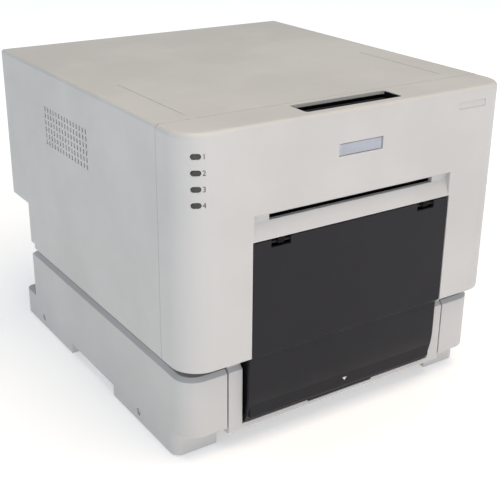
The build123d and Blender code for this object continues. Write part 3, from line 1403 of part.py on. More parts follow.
def socket_body(x, z, w, h, depth):
    """A socket: a cup in the rear panel with a lip on the outside."""
    half_w = w / 2 + SOCKET_WALL
    half_h = h / 2 + SOCKET_WALL
    back = PANEL_OUT_Y - depth - SOCKET_WALL
    cup = block(x - half_w, x + half_w, back, PANEL_OUT_Y, z - half_h, z + half_h)
    lip_w = half_w + FLANGE_LIP
    lip_h = half_h + FLANGE_LIP
    cup += block(x - lip_w, x + lip_w, PANEL_OUT_Y, PANEL_OUT_Y + FLANGE_LIP_T, z - lip_h, z + lip_h)
    return cup - block(x - w / 2, x + w / 2, back + SOCKET_WALL, REAR + 1, z - h / 2, z + h / 2)


def ac_inlet():
    """The mains inlet: a shrouded socket with three flat pins."""
    inlet = socket_body(INLET_X, INLET_Z, INLET_W, INLET_H, INLET_DEPTH)
    back = PANEL_OUT_Y - INLET_DEPTH
    for dx, dz in ((-7, -2), (0, 2), (7, -2)):
        x = INLET_X + dx
        z = INLET_Z + dz
        inlet += block(x - 1, x + 1, back - 1, back + 9, z - 2.5, z + 2.5)
    return inlet


def power_switch_body():
    """The case of the power switch."""
    return socket_body(INLET_X, SWITCH_Z, SWITCH_W, SWITCH_H, SWITCH_DEPTH)


def power_rocker():
    """The rocker of the power switch, tilted to off, with its pivot pin."""
    half_w = SWITCH_W / 2 - ROCKER_GAP
    half_h = SWITCH_H / 2 - ROCKER_GAP
    cap = Pos(0, half_w / 2 + 3, 0) * Box(2 * half_w, half_w, 2 * half_h)
    rocker = Cylinder(half_w, 2 * half_h) & cap
    rocker = Pos(0, -half_w / 2, 0) * rocker + Cylinder(2, 2 * half_h)
    turned = Rot(0, 0, ROCKER_TILT) * rocker
    return Pos(INLET_X, PANEL_OUT_Y - 3, SWITCH_Z) * turned


def usb_socket():
    """The data socket with its tongue."""
    socket = socket_body(USB_X, USB_Z, USB_W, USB_H, USB_DEPTH)
    back = PANEL_OUT_Y - USB_DEPTH
    top = USB_Z + USB_H / 2
    return socket + block(USB_X - 3, USB_X + 3, back - 1, back + 7, top - 2.5, top)


def build_all():
    """Every piece of the printer by name."""
    idler_phase, feed_phase, pinion_phase = gear_phases()
    return {
        "main_housing": main_housing(),
        "rear_panel": rear_panel(),
        "base_tray": base_tray(),
        "rubber_pads": rubber_pads(),
        "case_screws": case_screws(),
        "front_cover": front_cover(),
        "door_leg": door_leg(),
        "hinge_pins": hinge_pins(),
        "door_inner_panel": door_inner_panel(),
        "door_exit_guide": door_exit_guide(),
        "finger_well": finger_well(),
        "led_board": led_board(),
        "led_lenses": led_lenses(),
        "badge_plate": badge_plate(),
        "release_lever": release_lever(),
        "latch_shaft": latch_shaft(),
        "latch_hooks": latch_hooks(),
        "latch_spring": latch_spring(),
        "scrap_box": scrap_box(),
        "bottom_plate": bottom_plate(),
        "left_side_frame": left_side_frame(),
        "right_side_frame": right_side_frame(),
        "tie_bars": tie_bars(),
        "latch_beam": latch_beam(),
        "roller_bushes": roller_bushes(),
        "paper_roll": paper_roll(),
        "paper_core": paper_core(),
        "roll_flanges": roll_flanges(),
        "platen_roller": platen_roller(),
        "platen_shaft": platen_shaft(),
        "platen_gear": gear((PLATEN_Y, PLATEN_Z), PLATEN_TEETH, 0.0, ROLLER_SHAFT_R),
        "feed_roller": feed_roller(),
        "feed_gear": gear((FEED_Y, FEED_Z), FEED_TEETH, feed_phase, ROLLER_SHAFT_R),
        "idler_gear": gear(idler_place(), IDLER_TEETH, idler_phase, ROLLER_SHAFT_R + SHAFT_FIT),
        "motor_pinion": motor_pinion(pinion_phase),
        "feed_motor": feed_motor(),
        "pinch_roller": pinch_roller(),
        "ribbon_supply_spool": ribbon_spool(SUPPLY_Y, SUPPLY_Z),
        "ribbon_supply_roll": ribbon_roll(SUPPLY_Y, SUPPLY_Z, SUPPLY_R),
        "ribbon_takeup_spool": ribbon_spool(TAKEUP_Y, TAKEUP_Z),
        "ribbon_takeup_roll": ribbon_roll(TAKEUP_Y, TAKEUP_Z, TAKEUP_R),
        "ribbon_motors": ribbon_motors(),
        "thermal_head": thermal_head(),
        "head_heatsink": head_heatsink(),
        "head_arm": head_arm(),
        "head_lock_lever": head_lock_lever(),
        "cutter_rail": cutter_rail(),
        "cutter_carriage": cutter_carriage(),
        "cutter_blade": cutter_blade(),
        "cutter_motor": cutter_motor(),
        "paper_chutes": paper_chutes(),
        "main_board": main_board(),
        "power_supply": power_supply(),
        "fan_frame": fan_frame(),
        "fan_rotor": fan_rotor(),
        "fan_guard": fan_guard(),
        "ac_inlet": ac_inlet(),
        "power_switch_body": power_switch_body(),
        "power_rocker": power_rocker(),
        "usb_socket": usb_socket(),
    }


os.makedirs("parts", exist_ok=True)
for node, solid in build_all().items():
    save(node, solid)
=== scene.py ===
"""A desktop photo printer, dressed around its solid frame.

Every piece is in metres, in the frame's own axes: +Z up, the front door facing -Y.
"""

import json
import logging
from dataclasses import dataclass, field
from enum import Enum
from math import cos, pi, radians, sin
from typing import Optional, Sequence

import bmesh
import bpy
import numpy as np
from mathutils import Euler, Matrix, Vector

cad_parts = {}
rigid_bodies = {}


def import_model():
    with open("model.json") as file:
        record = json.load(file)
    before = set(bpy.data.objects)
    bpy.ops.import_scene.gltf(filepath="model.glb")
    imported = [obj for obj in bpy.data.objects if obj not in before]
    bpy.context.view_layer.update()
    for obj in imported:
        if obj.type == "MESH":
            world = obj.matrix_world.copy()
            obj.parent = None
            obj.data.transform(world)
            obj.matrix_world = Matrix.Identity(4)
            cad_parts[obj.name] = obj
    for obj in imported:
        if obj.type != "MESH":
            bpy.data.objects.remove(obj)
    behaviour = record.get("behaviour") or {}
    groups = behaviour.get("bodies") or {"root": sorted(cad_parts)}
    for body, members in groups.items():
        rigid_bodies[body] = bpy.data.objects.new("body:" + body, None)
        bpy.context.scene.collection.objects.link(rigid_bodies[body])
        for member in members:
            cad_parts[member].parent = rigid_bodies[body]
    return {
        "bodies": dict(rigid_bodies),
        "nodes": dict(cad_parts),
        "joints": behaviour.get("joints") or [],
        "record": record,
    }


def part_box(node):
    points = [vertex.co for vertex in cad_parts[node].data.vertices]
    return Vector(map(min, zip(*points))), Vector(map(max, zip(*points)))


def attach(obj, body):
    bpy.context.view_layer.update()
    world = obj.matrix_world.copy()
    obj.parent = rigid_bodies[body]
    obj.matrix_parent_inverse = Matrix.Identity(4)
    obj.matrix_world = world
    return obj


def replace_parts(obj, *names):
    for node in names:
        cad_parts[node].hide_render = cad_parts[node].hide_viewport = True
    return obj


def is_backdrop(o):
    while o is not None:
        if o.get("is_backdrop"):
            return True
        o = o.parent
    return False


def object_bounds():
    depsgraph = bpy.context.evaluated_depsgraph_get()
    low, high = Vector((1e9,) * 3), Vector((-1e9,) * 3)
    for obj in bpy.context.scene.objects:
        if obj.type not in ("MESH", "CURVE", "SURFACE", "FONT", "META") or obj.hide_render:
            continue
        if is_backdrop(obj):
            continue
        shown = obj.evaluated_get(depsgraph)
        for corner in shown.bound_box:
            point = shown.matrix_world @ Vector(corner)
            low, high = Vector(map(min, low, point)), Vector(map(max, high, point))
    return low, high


LOG = logging.getLogger("printer")
MM = 0.001
UP = np.array([0, 0, 1.0])
TEXT_SIZE = 1.4
TEXT_DEPTH = 0.06 * MM
MERGE = 1e-6
Socket = bpy.types.NodeSocket
Triple = tuple[float, float, float]
Colour = Triple


class Pattern(Enum):
    """How a metal's fine lines run."""

    SPANGLE = "spangle"
    TURNED = "turned"
    DRAWN = "drawn"


class Layout(Enum):
    """What a roll is wound from, which sets how strong its rings are and how rough it is."""

    PAPER = "paper"
    FILM = "film"
    CARD = "card"


class ShaderTree:
    """A small builder for one material's node tree."""

    def __init__(self, name: str) -> None:
        """Start a material with a lone shader and its output.

        Args:
            name: The material's name.
        """
        self.material = bpy.data.materials.new(name)
        self.material.use_nodes = True
        self.nodes = self.material.node_tree.nodes
        self.links = self.material.node_tree.links
        self.shader = self.nodes["Principled BSDF"]

    def add(self, kind: str, **settings: object) -> bpy.types.Node:
        """Add a node and set its properties.

        Args:
            kind: The node's type name.
            **settings: Properties of the node.

        Returns:
            The new node.
        """
        node = self.nodes.new(kind)
        for key, value in settings.items():
            setattr(node, key, value)
        return node

    def feed(self, target: Socket, value: object) -> None:
        """Link a socket, or set its number or colour.

        Args:
            target: The socket that is fed.
            value: A socket to link, or a value to set.
        """
        if isinstance(value, bpy.types.NodeSocket):
            self.links.new(value, target)
        else:
            target.default_value = value

    def place(self, scale: Sequence[float] = (1, 1, 1), centre: Sequence[float] = (0, 0, 0)) -> Socket:
        """Object coordinates, moved to a centre and then scaled.

        Args:
            scale: Scale along each axis.
            centre: The point that becomes the origin, in metres.

        Returns:
            The coordinates' socket.
        """
        coords = self.add("ShaderNodeTexCoord").outputs["Object"]
        mapping = self.add("ShaderNodeMapping")
        self.feed(mapping.inputs["Vector"], coords)
        mapping.inputs["Location"].default_value = [-c * s for c, s in zip(centre, scale)]
        mapping.inputs["Scale"].default_value = scale
        return mapping.outputs["Vector"]

    def noise(self, vector: Socket, scale: float, detail: float = 3.0, roughness: float = 0.55) -> Socket:
        """Cloudy noise between 0 and 1.

        Args:
            vector: Where the noise is read.
            scale: Clouds per metre of the vector.
            detail: How many finer layers it has.
            roughness: How strong the finer layers are.

        Returns:
            The noise's socket.
        """
        node = self.add("ShaderNodeTexNoise")
        self.feed(node.inputs["Vector"], vector)
        node.inputs["Scale"].default_value = scale
        node.inputs["Detail"].default_value = detail
        node.inputs["Roughness"].default_value = roughness
        return node.outputs["Fac"]

    def cells(self, vector: Socket, scale: float, feature: str = "F1") -> Socket:
        """Cell noise, read as the distance to the nearest cell or to its edge.

        Args:
            vector: Where the noise is read.
            scale: Cells per metre of the vector.
            feature: What the distance is measured to.

        Returns:
            The distance's socket.
        """
        node = self.add("ShaderNodeTexVoronoi", feature=feature)
        self.feed(node.inputs["Vector"], vector)
        node.inputs["Scale"].default_value = scale
        return node.outputs["Distance"]

    def math(self, operation: str, first: object, second: object) -> Socket:
        """One arithmetic step on sockets or numbers.

        Args:
            operation: The step's name.
            first: The first socket or number.
            second: The second socket or number.

        Returns:
            The result's socket.
        """
        node = self.add("ShaderNodeMath", operation=operation)
        self.feed(node.inputs[0], first)
        self.feed(node.inputs[1], second)
        return node.outputs[0]

    def ramp(self, value: Socket, low: float, high: float, to_low: float = 0.0,
             to_high: float = 1.0) -> Socket:
        """Map a range of values onto another, with smooth ends.

        Args:
            value: The value to map.
            low: The value that becomes to_low.
            high: The value that becomes to_high.
            to_low: The result at low.
            to_high: The result at high.

        Returns:
            The result's socket.
        """
        node = self.add("ShaderNodeMapRange", interpolation_type="SMOOTHSTEP")
        for socket, number in zip(node.inputs, (value, low, high, to_low, to_high)):
            self.feed(socket, number)
        return node.outputs["Result"]

    def mix(self, factor: object, first: object, second: object) -> Socket:
        """Blend two colours.

        Args:
            factor: How much of the second colour there is, from 0 to 1.
            first: A socket or a tuple.
            second: A socket or a tuple.

        Returns:
            The blend's socket.
        """
        node = self.add("ShaderNodeMix", data_type="RGBA")
        colours = [s for s in node.inputs if s.type == "RGBA"]
        self.feed(node.inputs["Factor"], factor)
        for socket, value in zip(colours, (first, second)):
            self.feed(socket, (*value, 1.0) if isinstance(value, tuple) else value)
        return next(s for s in node.outputs if s.type == "RGBA")

    def edges(self, radius: float) -> tuple[Socket, Socket]:
        """Rounded normals near sharp edges, and a mask that is high there.

        Args:
            radius: The rounding's radius in metres.

        Returns:
            The rounded normal and the edge mask.
        """
        bevel = self.add("ShaderNodeBevel", samples=4)
        bevel.inputs["Radius"].default_value = radius
        geometry = self.add("ShaderNodeNewGeometry")
        dot = self.add("ShaderNodeVectorMath", operation="DOT_PRODUCT")
        self.feed(dot.inputs[0], bevel.outputs["Normal"])
        self.feed(dot.inputs[1], geometry.outputs["Normal"])
        mask = self.ramp(dot.outputs["Value"], 0.995, 0.90)
        return bevel.outputs["Normal"], mask

    def bump(self, height: Socket, distance: float, normal: Optional[Socket] = None) -> Socket:
        """A bumped normal from a height between 0 and 1.

        Args:
            height: The height's socket.
            distance: How far the surface rises at height 1, in metres.
            normal: The normal that the bumps stand on.

        Returns:
            The normal's socket.
        """
        node = self.add("ShaderNodeBump")
        node.inputs["Strength"].default_value = 1.0
        node.inputs["Distance"].default_value = distance
        self.feed(node.inputs["Height"], height)
        if normal is not None:
            self.feed(node.inputs["Normal"], normal)
        return node.outputs["Normal"]

    def finish(self, colour: object, roughness: object, normal: Optional[Socket] = None,
               metallic: float = 0.0, **shader: float) -> bpy.types.Material:
        """Wire the shader's main sockets.

        Args:
            colour: Base colour, a socket or a tuple.
            roughness: Roughness, a socket or a number.
            normal: The shading normal.
            metallic: How metallic the surface is.
            **shader: Other sockets of the shader by name, with _ for a space.

        Returns:
            The finished material.
        """
        self.feed(self.shader.inputs["Base Color"], (*colour, 1.0) if isinstance(colour, tuple) else colour)
        self.feed(self.shader.inputs["Roughness"], roughness)
        self.shader.inputs["Metallic"].default_value = metallic
        for key, value in shader.items():
            self.shader.inputs[key.replace("_", " ")].default_value = value
        if normal is not None:
            self.feed(self.shader.inputs["Normal"], normal)
        return self.material


@dataclass(frozen=True)
class MouldedPlastic:
    """Injection-moulded plastic: fine spark texture, faint flow clouds, polished edges with a painted
    highlight colour along them.

    The grain and the edge radius are lengths in metres, and the scales are clouds per metre.
    """

    name: str
    colour: Colour
    edge_colour: Colour
    roughness: float = 0.5
    grain: float = 0.00045
    grain_depth: float = 0.00002
    edge_radius: float = 0.0008
    dust: float = 0.04
    specular: float = 0.45
    polish: float = 0.2
    cloud_scale: float = 9.0
    smudge_scale: float = 38.0

    def build(self) -> bpy.types.Material:
        """Make the material.

        Returns:
            The material.
        """
        tree = ShaderTree(self.name)
        place = tree.place()
        spark = tree.noise(place, 1.0 / self.grain, 2.0, 0.6)
        clouds = tree.noise(place, self.cloud_scale, 4.0, 0.5)
        smudge = tree.noise(place, self.smudge_scale, 5.0, 0.62)
        normal, mask = tree.edges(self.edge_radius)
        darker = tuple(c * (1 - self.dust) for c in self.colour)
        lighter = tuple(min(1.0, c * (1 + self.dust)) for c in self.colour)
        body = tree.mix(tree.ramp(clouds, 0.35, 0.65), darker, lighter)
        speck = tree.mix(tree.ramp(spark, 0.4, 0.75, 0.0, 0.35), body, darker)
        # painted highlight: along sharp edges the colour turns to the lighter edge highlight colour
        colour = tree.mix(tree.math("MULTIPLY", mask, 0.6), speck, self.edge_colour)
        rough = tree.ramp(smudge, 0.3, 0.75, self.roughness - 0.05, self.roughness + 0.08)
        rough = tree.math("SUBTRACT", rough, tree.math("MULTIPLY", mask, self.polish))
        normal = tree.bump(spark, self.grain_depth, normal)
        return tree.finish(colour, rough, normal, Specular_IOR_Level=self.specular)


@dataclass(frozen=True)
class GlossPlastic:
    """Smooth plastic, as on lenses and head glaze, with a light film of dust."""

    name: str
    colour: Colour
    tint: Colour
    roughness: float = 0.16
    scale: float = 60.0
    ripple_scale: float = 420.0
    edge_radius: float = 0.0003

    def build(self) -> bpy.types.Material:
        """Make the material.

        Returns:
            The material.
        """
        tree = ShaderTree(self.name)
        place = tree.place()
        film = tree.noise(place, self.scale, 5.0, 0.6)
        ripple = tree.noise(place, self.ripple_scale, 2.0)
        normal, mask = tree.edges(self.edge_radius)
        colour = tree.mix(tree.ramp(film, 0.35, 0.8), self.colour, self.tint)
        colour = tree.mix(tree.math("MULTIPLY", mask, 0.4), colour, self.tint)
        rough = tree.ramp(film, 0.3, 0.8, self.roughness, self.roughness + 0.14)
        return tree.finish(colour, rough, tree.bump(ripple, 0.000008, normal), Specular_IOR_Level=0.4,
                           Coat_Weight=0.12, Coat_Roughness=0.2)


@dataclass(frozen=True)
class Metal:
    """Bare or plated metal with spangle, turned rings or drawn lines."""

    name: str
    colour: Colour
    pattern: Pattern = Pattern.DRAWN
    roughness: float = 0.34
    tarnish: Colour = (0.30, 0.29, 0.28)
    edge_radius: float = 0.0004
    spangle_scale: float = 260.0
    turned_scale: Triple = (2600, 30, 30)
    drawn_scale: Triple = (14, 900, 900)
    stain_scale: float = 34.0

    def lines(self, tree: ShaderTree) -> Socket:
        """The height of the metal's fine pattern.

        Args:
            tree: The material's node tree.

        Returns:
            The height's socket.
        """
        if self.pattern is Pattern.SPANGLE:
            return tree.cells(tree.place(), self.spangle_scale)
        if self.pattern is Pattern.TURNED:
            return tree.noise(tree.place(self.turned_scale), 1.0, 2.0)
        return tree.noise(tree.place(self.drawn_scale), 1.0, 3.0)

    def build(self) -> bpy.types.Material:
        """Make the material.

        Returns:
            The material.
        """
        tree = ShaderTree(self.name)
        lines = self.lines(tree)
        stain = tree.noise(tree.place(), self.stain_scale, 6.0, 0.62)
        normal, mask = tree.edges(self.edge_radius)
        colour = tree.mix(tree.ramp(stain, 0.45, 0.85, 0.0, 0.5), self.colour, self.tarnish)
        # painted highlight: the colour turns a fifth brighter along sharp edges
        edge_glint = tuple(min(1.0, c * 1.2) for c in self.colour)
        colour = tree.mix(tree.math("MULTIPLY", mask, 0.7), colour, edge_glint)
        rough = tree.ramp(lines, 0.2, 0.8, self.roughness - 0.08, self.roughness + 0.1)
        rough = tree.math("ADD", rough, tree.ramp(stain, 0.5, 0.9, 0.0, 0.12))
        return tree.finish(colour, rough, tree.bump(lines, 0.00001, normal), metallic=1.0)


@dataclass(frozen=True)
class Rubber:
    """Ground or moulded rubber with fine pores and pale dust."""

    name: str
    colour: Colour
    bloom: Colour
    roughness: float = 0.78
    pore_scale: float = 1500.0
    bloom_scale: float = 70.0
    edge_radius: float = 0.0005

    def build(self) -> bpy.types.Material:
        """Make the material.

        Returns:
            The material.
        """
        tree = ShaderTree(self.name)
        place = tree.place()
        pores = tree.cells(place, self.pore_scale)
        bloom = tree.noise(place, self.bloom_scale, 5.0, 0.65)
        normal, mask = tree.edges(self.edge_radius)
        colour = tree.mix(tree.ramp(bloom, 0.45, 0.85, 0.0, 0.6), self.colour, self.bloom)
        colour = tree.mix(tree.math("MULTIPLY", mask, 0.5), colour, self.bloom)
        rough = tree.ramp(bloom, 0.3, 0.8, self.roughness - 0.1, self.roughness + 0.1)
        return tree.finish(colour, rough, tree.bump(pores, 0.00003, normal))


@dataclass(frozen=True)
class WoundRoll:
    """Wound paper, card or film: thin rings on the ends and faint bands on the face."""

    name: str
    colour: Colour
    shade: Colour
    centre: Triple
    layout: Layout
    pitch: float = 0.0009
    edge_radius: float = 0.0004

    def build(self) -> bpy.types.Material:
        """Make the material, with rings around the roll's own axis.

        Returns:
            The material.
        """
        tree = ShaderTree(self.name)
        place = tree.place(centre=self.centre)
        flat = tree.add("ShaderNodeVectorMath", operation="MULTIPLY")
        tree.feed(flat.inputs[0], place)
        flat.inputs[1].default_value = (0, 1, 1)
        radius = tree.add("ShaderNodeVectorMath", operation="LENGTH")
        tree.feed(radius.inputs[0], flat.outputs["Vector"])
        wobble = tree.noise(place, 40.0, 3.0)
        turns = tree.math("DIVIDE", radius.outputs["Value"], self.pitch)
        turns = tree.math("ADD", turns, tree.math("MULTIPLY", wobble, 0.8))
        rings = tree.math("PINGPONG", turns, 1.0)
        band = tree.noise(tree.place((160, 4, 4), self.centre), 1.0, 2.0)
        looks = {Layout.PAPER: (0.35, 0.42), Layout.CARD: (0.8, 0.85), Layout.FILM: (0.6, 0.24)}
        weight, base = looks[self.layout]
        colour = tree.mix(tree.math("MULTIPLY", tree.ramp(rings, 0.55, 1.0), weight), self.colour, self.shade)
        colour = tree.mix(tree.ramp(band, 0.5, 0.8, 0.0, 0.25), colour, self.shade)
        rough = tree.ramp(band, 0.2, 0.8, base - 0.05, base + 0.12)
        normal, _mask = tree.edges(self.edge_radius)
        return tree.finish(colour, rough, tree.bump(rings, 0.00003, normal))


@dataclass(frozen=True)
class CircuitBoard:
    """Green solder mask over faint copper tracks, with bright pads."""

    name: str
    mask_colour: Colour = (0.020, 0.115, 0.055)
    track_colour: Colour = (0.035, 0.20, 0.09)
    pad_colour: Colour = (0.62, 0.60, 0.52)
    bare_edge: Colour = (0.42, 0.40, 0.22)
    track_scale: float = 210.0
    pad_scale: float = 330.0
    grime_scale: float = 60.0
    edge_radius: float = 0.0003

    def build(self) -> bpy.types.Material:
        """Make the material.

        Returns:
            The material.
        """
        tree = ShaderTree(self.name)
        place = tree.place()
        tracks = tree.cells(place, self.track_scale, feature="DISTANCE_TO_EDGE")
        pads = tree.cells(place, self.pad_scale)
        grime = tree.noise(place, self.grime_scale, 4.0)
        normal, mask = tree.edges(self.edge_radius)
        colour = tree.mix(tree.ramp(tracks, 0.03, 0.09), self.track_colour, self.mask_colour)
        colour = tree.mix(tree.ramp(pads, 0.16, 0.11), colour, self.pad_colour)
        colour = tree.mix(tree.math("MULTIPLY", mask, 0.5), colour, self.bare_edge)
        rough = tree.ramp(grime, 0.3, 0.7, 0.22, 0.4)
        return tree.finish(colour, rough, tree.bump(tracks, 0.00005, normal))


@dataclass(frozen=True)
class StudioFloor:
    """A pale sheet with hardly any texture, glowing a little more away from the printer."""

    name: str = "studio_floor"
    near_glow: float = 0.32
    far_glow: float = 0.62
    near: float = 0.35
    far: float = 1.1

    def build(self) -> bpy.types.Material:
        """Make the material.

        Returns:
            The material.
        """
        tree = ShaderTree(self.name)
        place = tree.place()
        soft = tree.noise(place, 3.0, 2.0)
        away = tree.add("ShaderNodeVectorMath", operation="LENGTH")
        tree.feed(away.inputs[0], place)
        glow = tree.ramp(away.outputs["Value"], self.near, self.far, self.near_glow, self.far_glow)
        tree.feed(tree.shader.inputs["Emission Strength"], glow)
        return tree.finish(tree.mix(soft, (0.90, 0.90, 0.90), (0.93, 0.93, 0.93)), 0.75,
                           Emission_Color=(1, 1, 1, 1))


class Surfaces:
    """Meshes from points that numpy works out."""

    @staticmethod
    def make(name: str, points: np.ndarray, faces: np.ndarray, smooth: bool = True) -> bpy.types.Object:
        """Put points and faces into a new object at the origin.

        Args:
            name: The object's name.
            points: An array of points, n by 3, in metres.
            faces: An array of quads or triangles.
            smooth: Whether the faces shade smoothly.

        Returns:
            The new object.
        """
        mesh = bpy.data.meshes.new(name)
        mesh.from_pydata(points.reshape(-1, 3).tolist(), [], faces.tolist())
        mesh.polygons.foreach_set("use_smooth", [smooth] * len(mesh.polygons))
        mesh.update()
        thing = bpy.data.objects.new(name, mesh)
        bpy.context.scene.collection.objects.link(thing)
        return thing

    @staticmethod
    def grid_faces(rows: int, columns: int, wrap: bool = True) -> np.ndarray:
        """Quads between the rows of a grid, closed along each row where wrap is set.

        Args:
            rows: Number of rows of points.
            columns: Number of points in a row.
            wrap: Whether the last point of a row joins the first.

        Returns:
            The quads' point numbers.
        """
        i, j = np.meshgrid(np.arange(rows - 1), np.arange(columns if wrap else columns - 1), indexing="ij")
        after = (j + 1) % columns
        here, above = i * columns, (i + 1) * columns
        quads = np.stack([here + j, here + after, above + after, above + j], -1)
        return quads.reshape(-1, 4)

    @staticmethod
    def tube(path: np.ndarray, radius: float, sides: int = 12,
             closed: bool = True) -> tuple[np.ndarray, np.ndarray]:
        """A round tube along a path: path + r (cos t n + sin t b), with n and b square to the path.

        Args:
            path: Points along the middle, n by 3.
            radius: The tube's radius.
            sides: Points around the tube.
            closed: Whether the path is a closed loop.

        Returns:
            Points and quads of the tube.
        """
        ahead = np.roll(path, -1, 0) - np.roll(path, 1, 0)
        if not closed:
            ahead[0] = path[1] - path[0]
            ahead[-1] = path[-1] - path[-2]
        ahead /= np.linalg.norm(ahead, axis=1, keepdims=True)
        guide = np.array([0.0, 1.0, 0.0]) if abs(ahead[0, 1]) < 0.9 else np.array([1.0, 0.0, 0.0])
        normal = np.cross(guide, ahead)
        normal /= np.linalg.norm(normal, axis=1, keepdims=True)
        binormal = np.cross(ahead, normal)
        turn = np.linspace(0, 2 * pi, sides, endpoint=False)
        points = (path[:, None] + radius * (np.cos(turn)[None, :, None] * normal[:, None]
                                            + np.sin(turn)[None, :, None] * binormal[:, None]))
        faces = Surfaces.grid_faces(len(path) + (1 if closed else 0), sides)
        return points, faces % (len(path) * sides)

    @staticmethod
    def join(parts: Sequence[tuple[np.ndarray, np.ndarray]]) -> tuple[np.ndarray, np.ndarray]:
        """Several grids of quads as one set of points and faces.

        Args:
            parts: Points and quads of each grid.

        Returns:
            All points and all quads.
        """
        points, faces, start = [], [], 0
        for part_points, part_faces in parts:
            flat = part_points.reshape(-1, 3)
            points.append(flat)
            faces.append(part_faces + start)
            start += len(flat)
        return np.concatenate(points), np.concatenate(faces)


def dress(node: bpy.types.Object, material: bpy.types.Material) -> None:
    """Give every material slot of an object one material.

    Args:
        node: A carried-over solid or a new piece.
        material: The material.
    """
    if not node.material_slots:
        node.data.materials.append(material)
    for slot in node.material_slots:
        slot.material = material


def middle_of(node: str) -> Triple:
    """The middle of a carried-over solid's box.

    Args:
        node: The solid's name.

    Returns:
        The middle in metres.
    """
    return tuple(sum(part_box(node), Vector()) / 2)


@dataclass
class Finishes:
    """Every finish of the printer by the name of the record's material slot."""

    made: dict[str, bpy.types.Material] = field(default_factory=dict)

    def build(self) -> None:
        """Make one material for each slot."""
        light = (0.552, 0.545, 0.529)
        kinds = [
            # the second colour of each moulded plastic is a painted highlight along its edges
            MouldedPlastic("casing_light", light, (0.78, 0.77, 0.755), roughness=0.46),
            MouldedPlastic("casing_dark", (0.0165, 0.016, 0.019), (0.04, 0.04, 0.045), roughness=0.42,
                           grain=0.0006, grain_depth=0.00003, specular=0.17, polish=0.12),
            MouldedPlastic("inner_plastic", (0.005, 0.005, 0.006), (0.016, 0.016, 0.017), roughness=0.62,
                           specular=0.12),
            MouldedPlastic("gear_plastic", (0.74, 0.72, 0.65), (0.86, 0.84, 0.78), roughness=0.38),
            MouldedPlastic("lever_green", (0.03, 0.30, 0.12), (0.10, 0.50, 0.24), roughness=0.4),
            GlossPlastic("lens_smoke", (0.030, 0.030, 0.030), (0.055, 0.055, 0.054), roughness=0.34),
            GlossPlastic("ceramic", (0.52, 0.44, 0.28), (0.66, 0.58, 0.42), roughness=0.2),
            Metal("badge_satin", (0.40, 0.425, 0.475), Pattern.DRAWN, roughness=0.42),
            Metal("steel_zinc", (0.60, 0.61, 0.62), Pattern.SPANGLE, roughness=0.38),
            Metal("steel_ground", (0.66, 0.66, 0.67), Pattern.TURNED, roughness=0.22),
            Metal("screw_steel", (0.66, 0.66, 0.68), Pattern.TURNED, roughness=0.4),
            Metal("sink_alu", (0.74, 0.75, 0.76), Pattern.DRAWN, roughness=0.36),
            Metal("bush_brass", (0.72, 0.52, 0.24), Pattern.TURNED, roughness=0.32,
                  tarnish=(0.36, 0.24, 0.12)),
            Metal("motor_steel", (0.10, 0.10, 0.11), Pattern.DRAWN, roughness=0.4,
                  tarnish=(0.05, 0.05, 0.05)),
            Rubber("pad_rubber", (0.022, 0.022, 0.023), (0.10, 0.10, 0.10)),
            Rubber("roller_rubber", (0.035, 0.035, 0.037), (0.10, 0.10, 0.10), roughness=0.62),
            CircuitBoard("board_green"),
        ]
        kinds += [
            WoundRoll("paper_white", (0.86, 0.86, 0.84), (0.62, 0.62, 0.60),
                      middle_of("paper_roll"), Layout.PAPER),
            WoundRoll("card_brown", (0.40, 0.29, 0.18), (0.26, 0.18, 0.11),
                      middle_of("paper_core"), Layout.CARD),
            WoundRoll("ribbon_film", (0.16, 0.035, 0.13), (0.05, 0.012, 0.06),
                      middle_of("ribbon_supply_roll"), Layout.FILM),
        ]
        for kind in kinds:
            self.made[kind.name] = kind.build()

    def apply(self, frame: dict) -> None:
        """Dress every carried-over node in its slot's finish.
        """
        for part in frame["record"]["subparts"]:
            dress(frame["nodes"][part["node"]], self.made[part["material_slot"]])


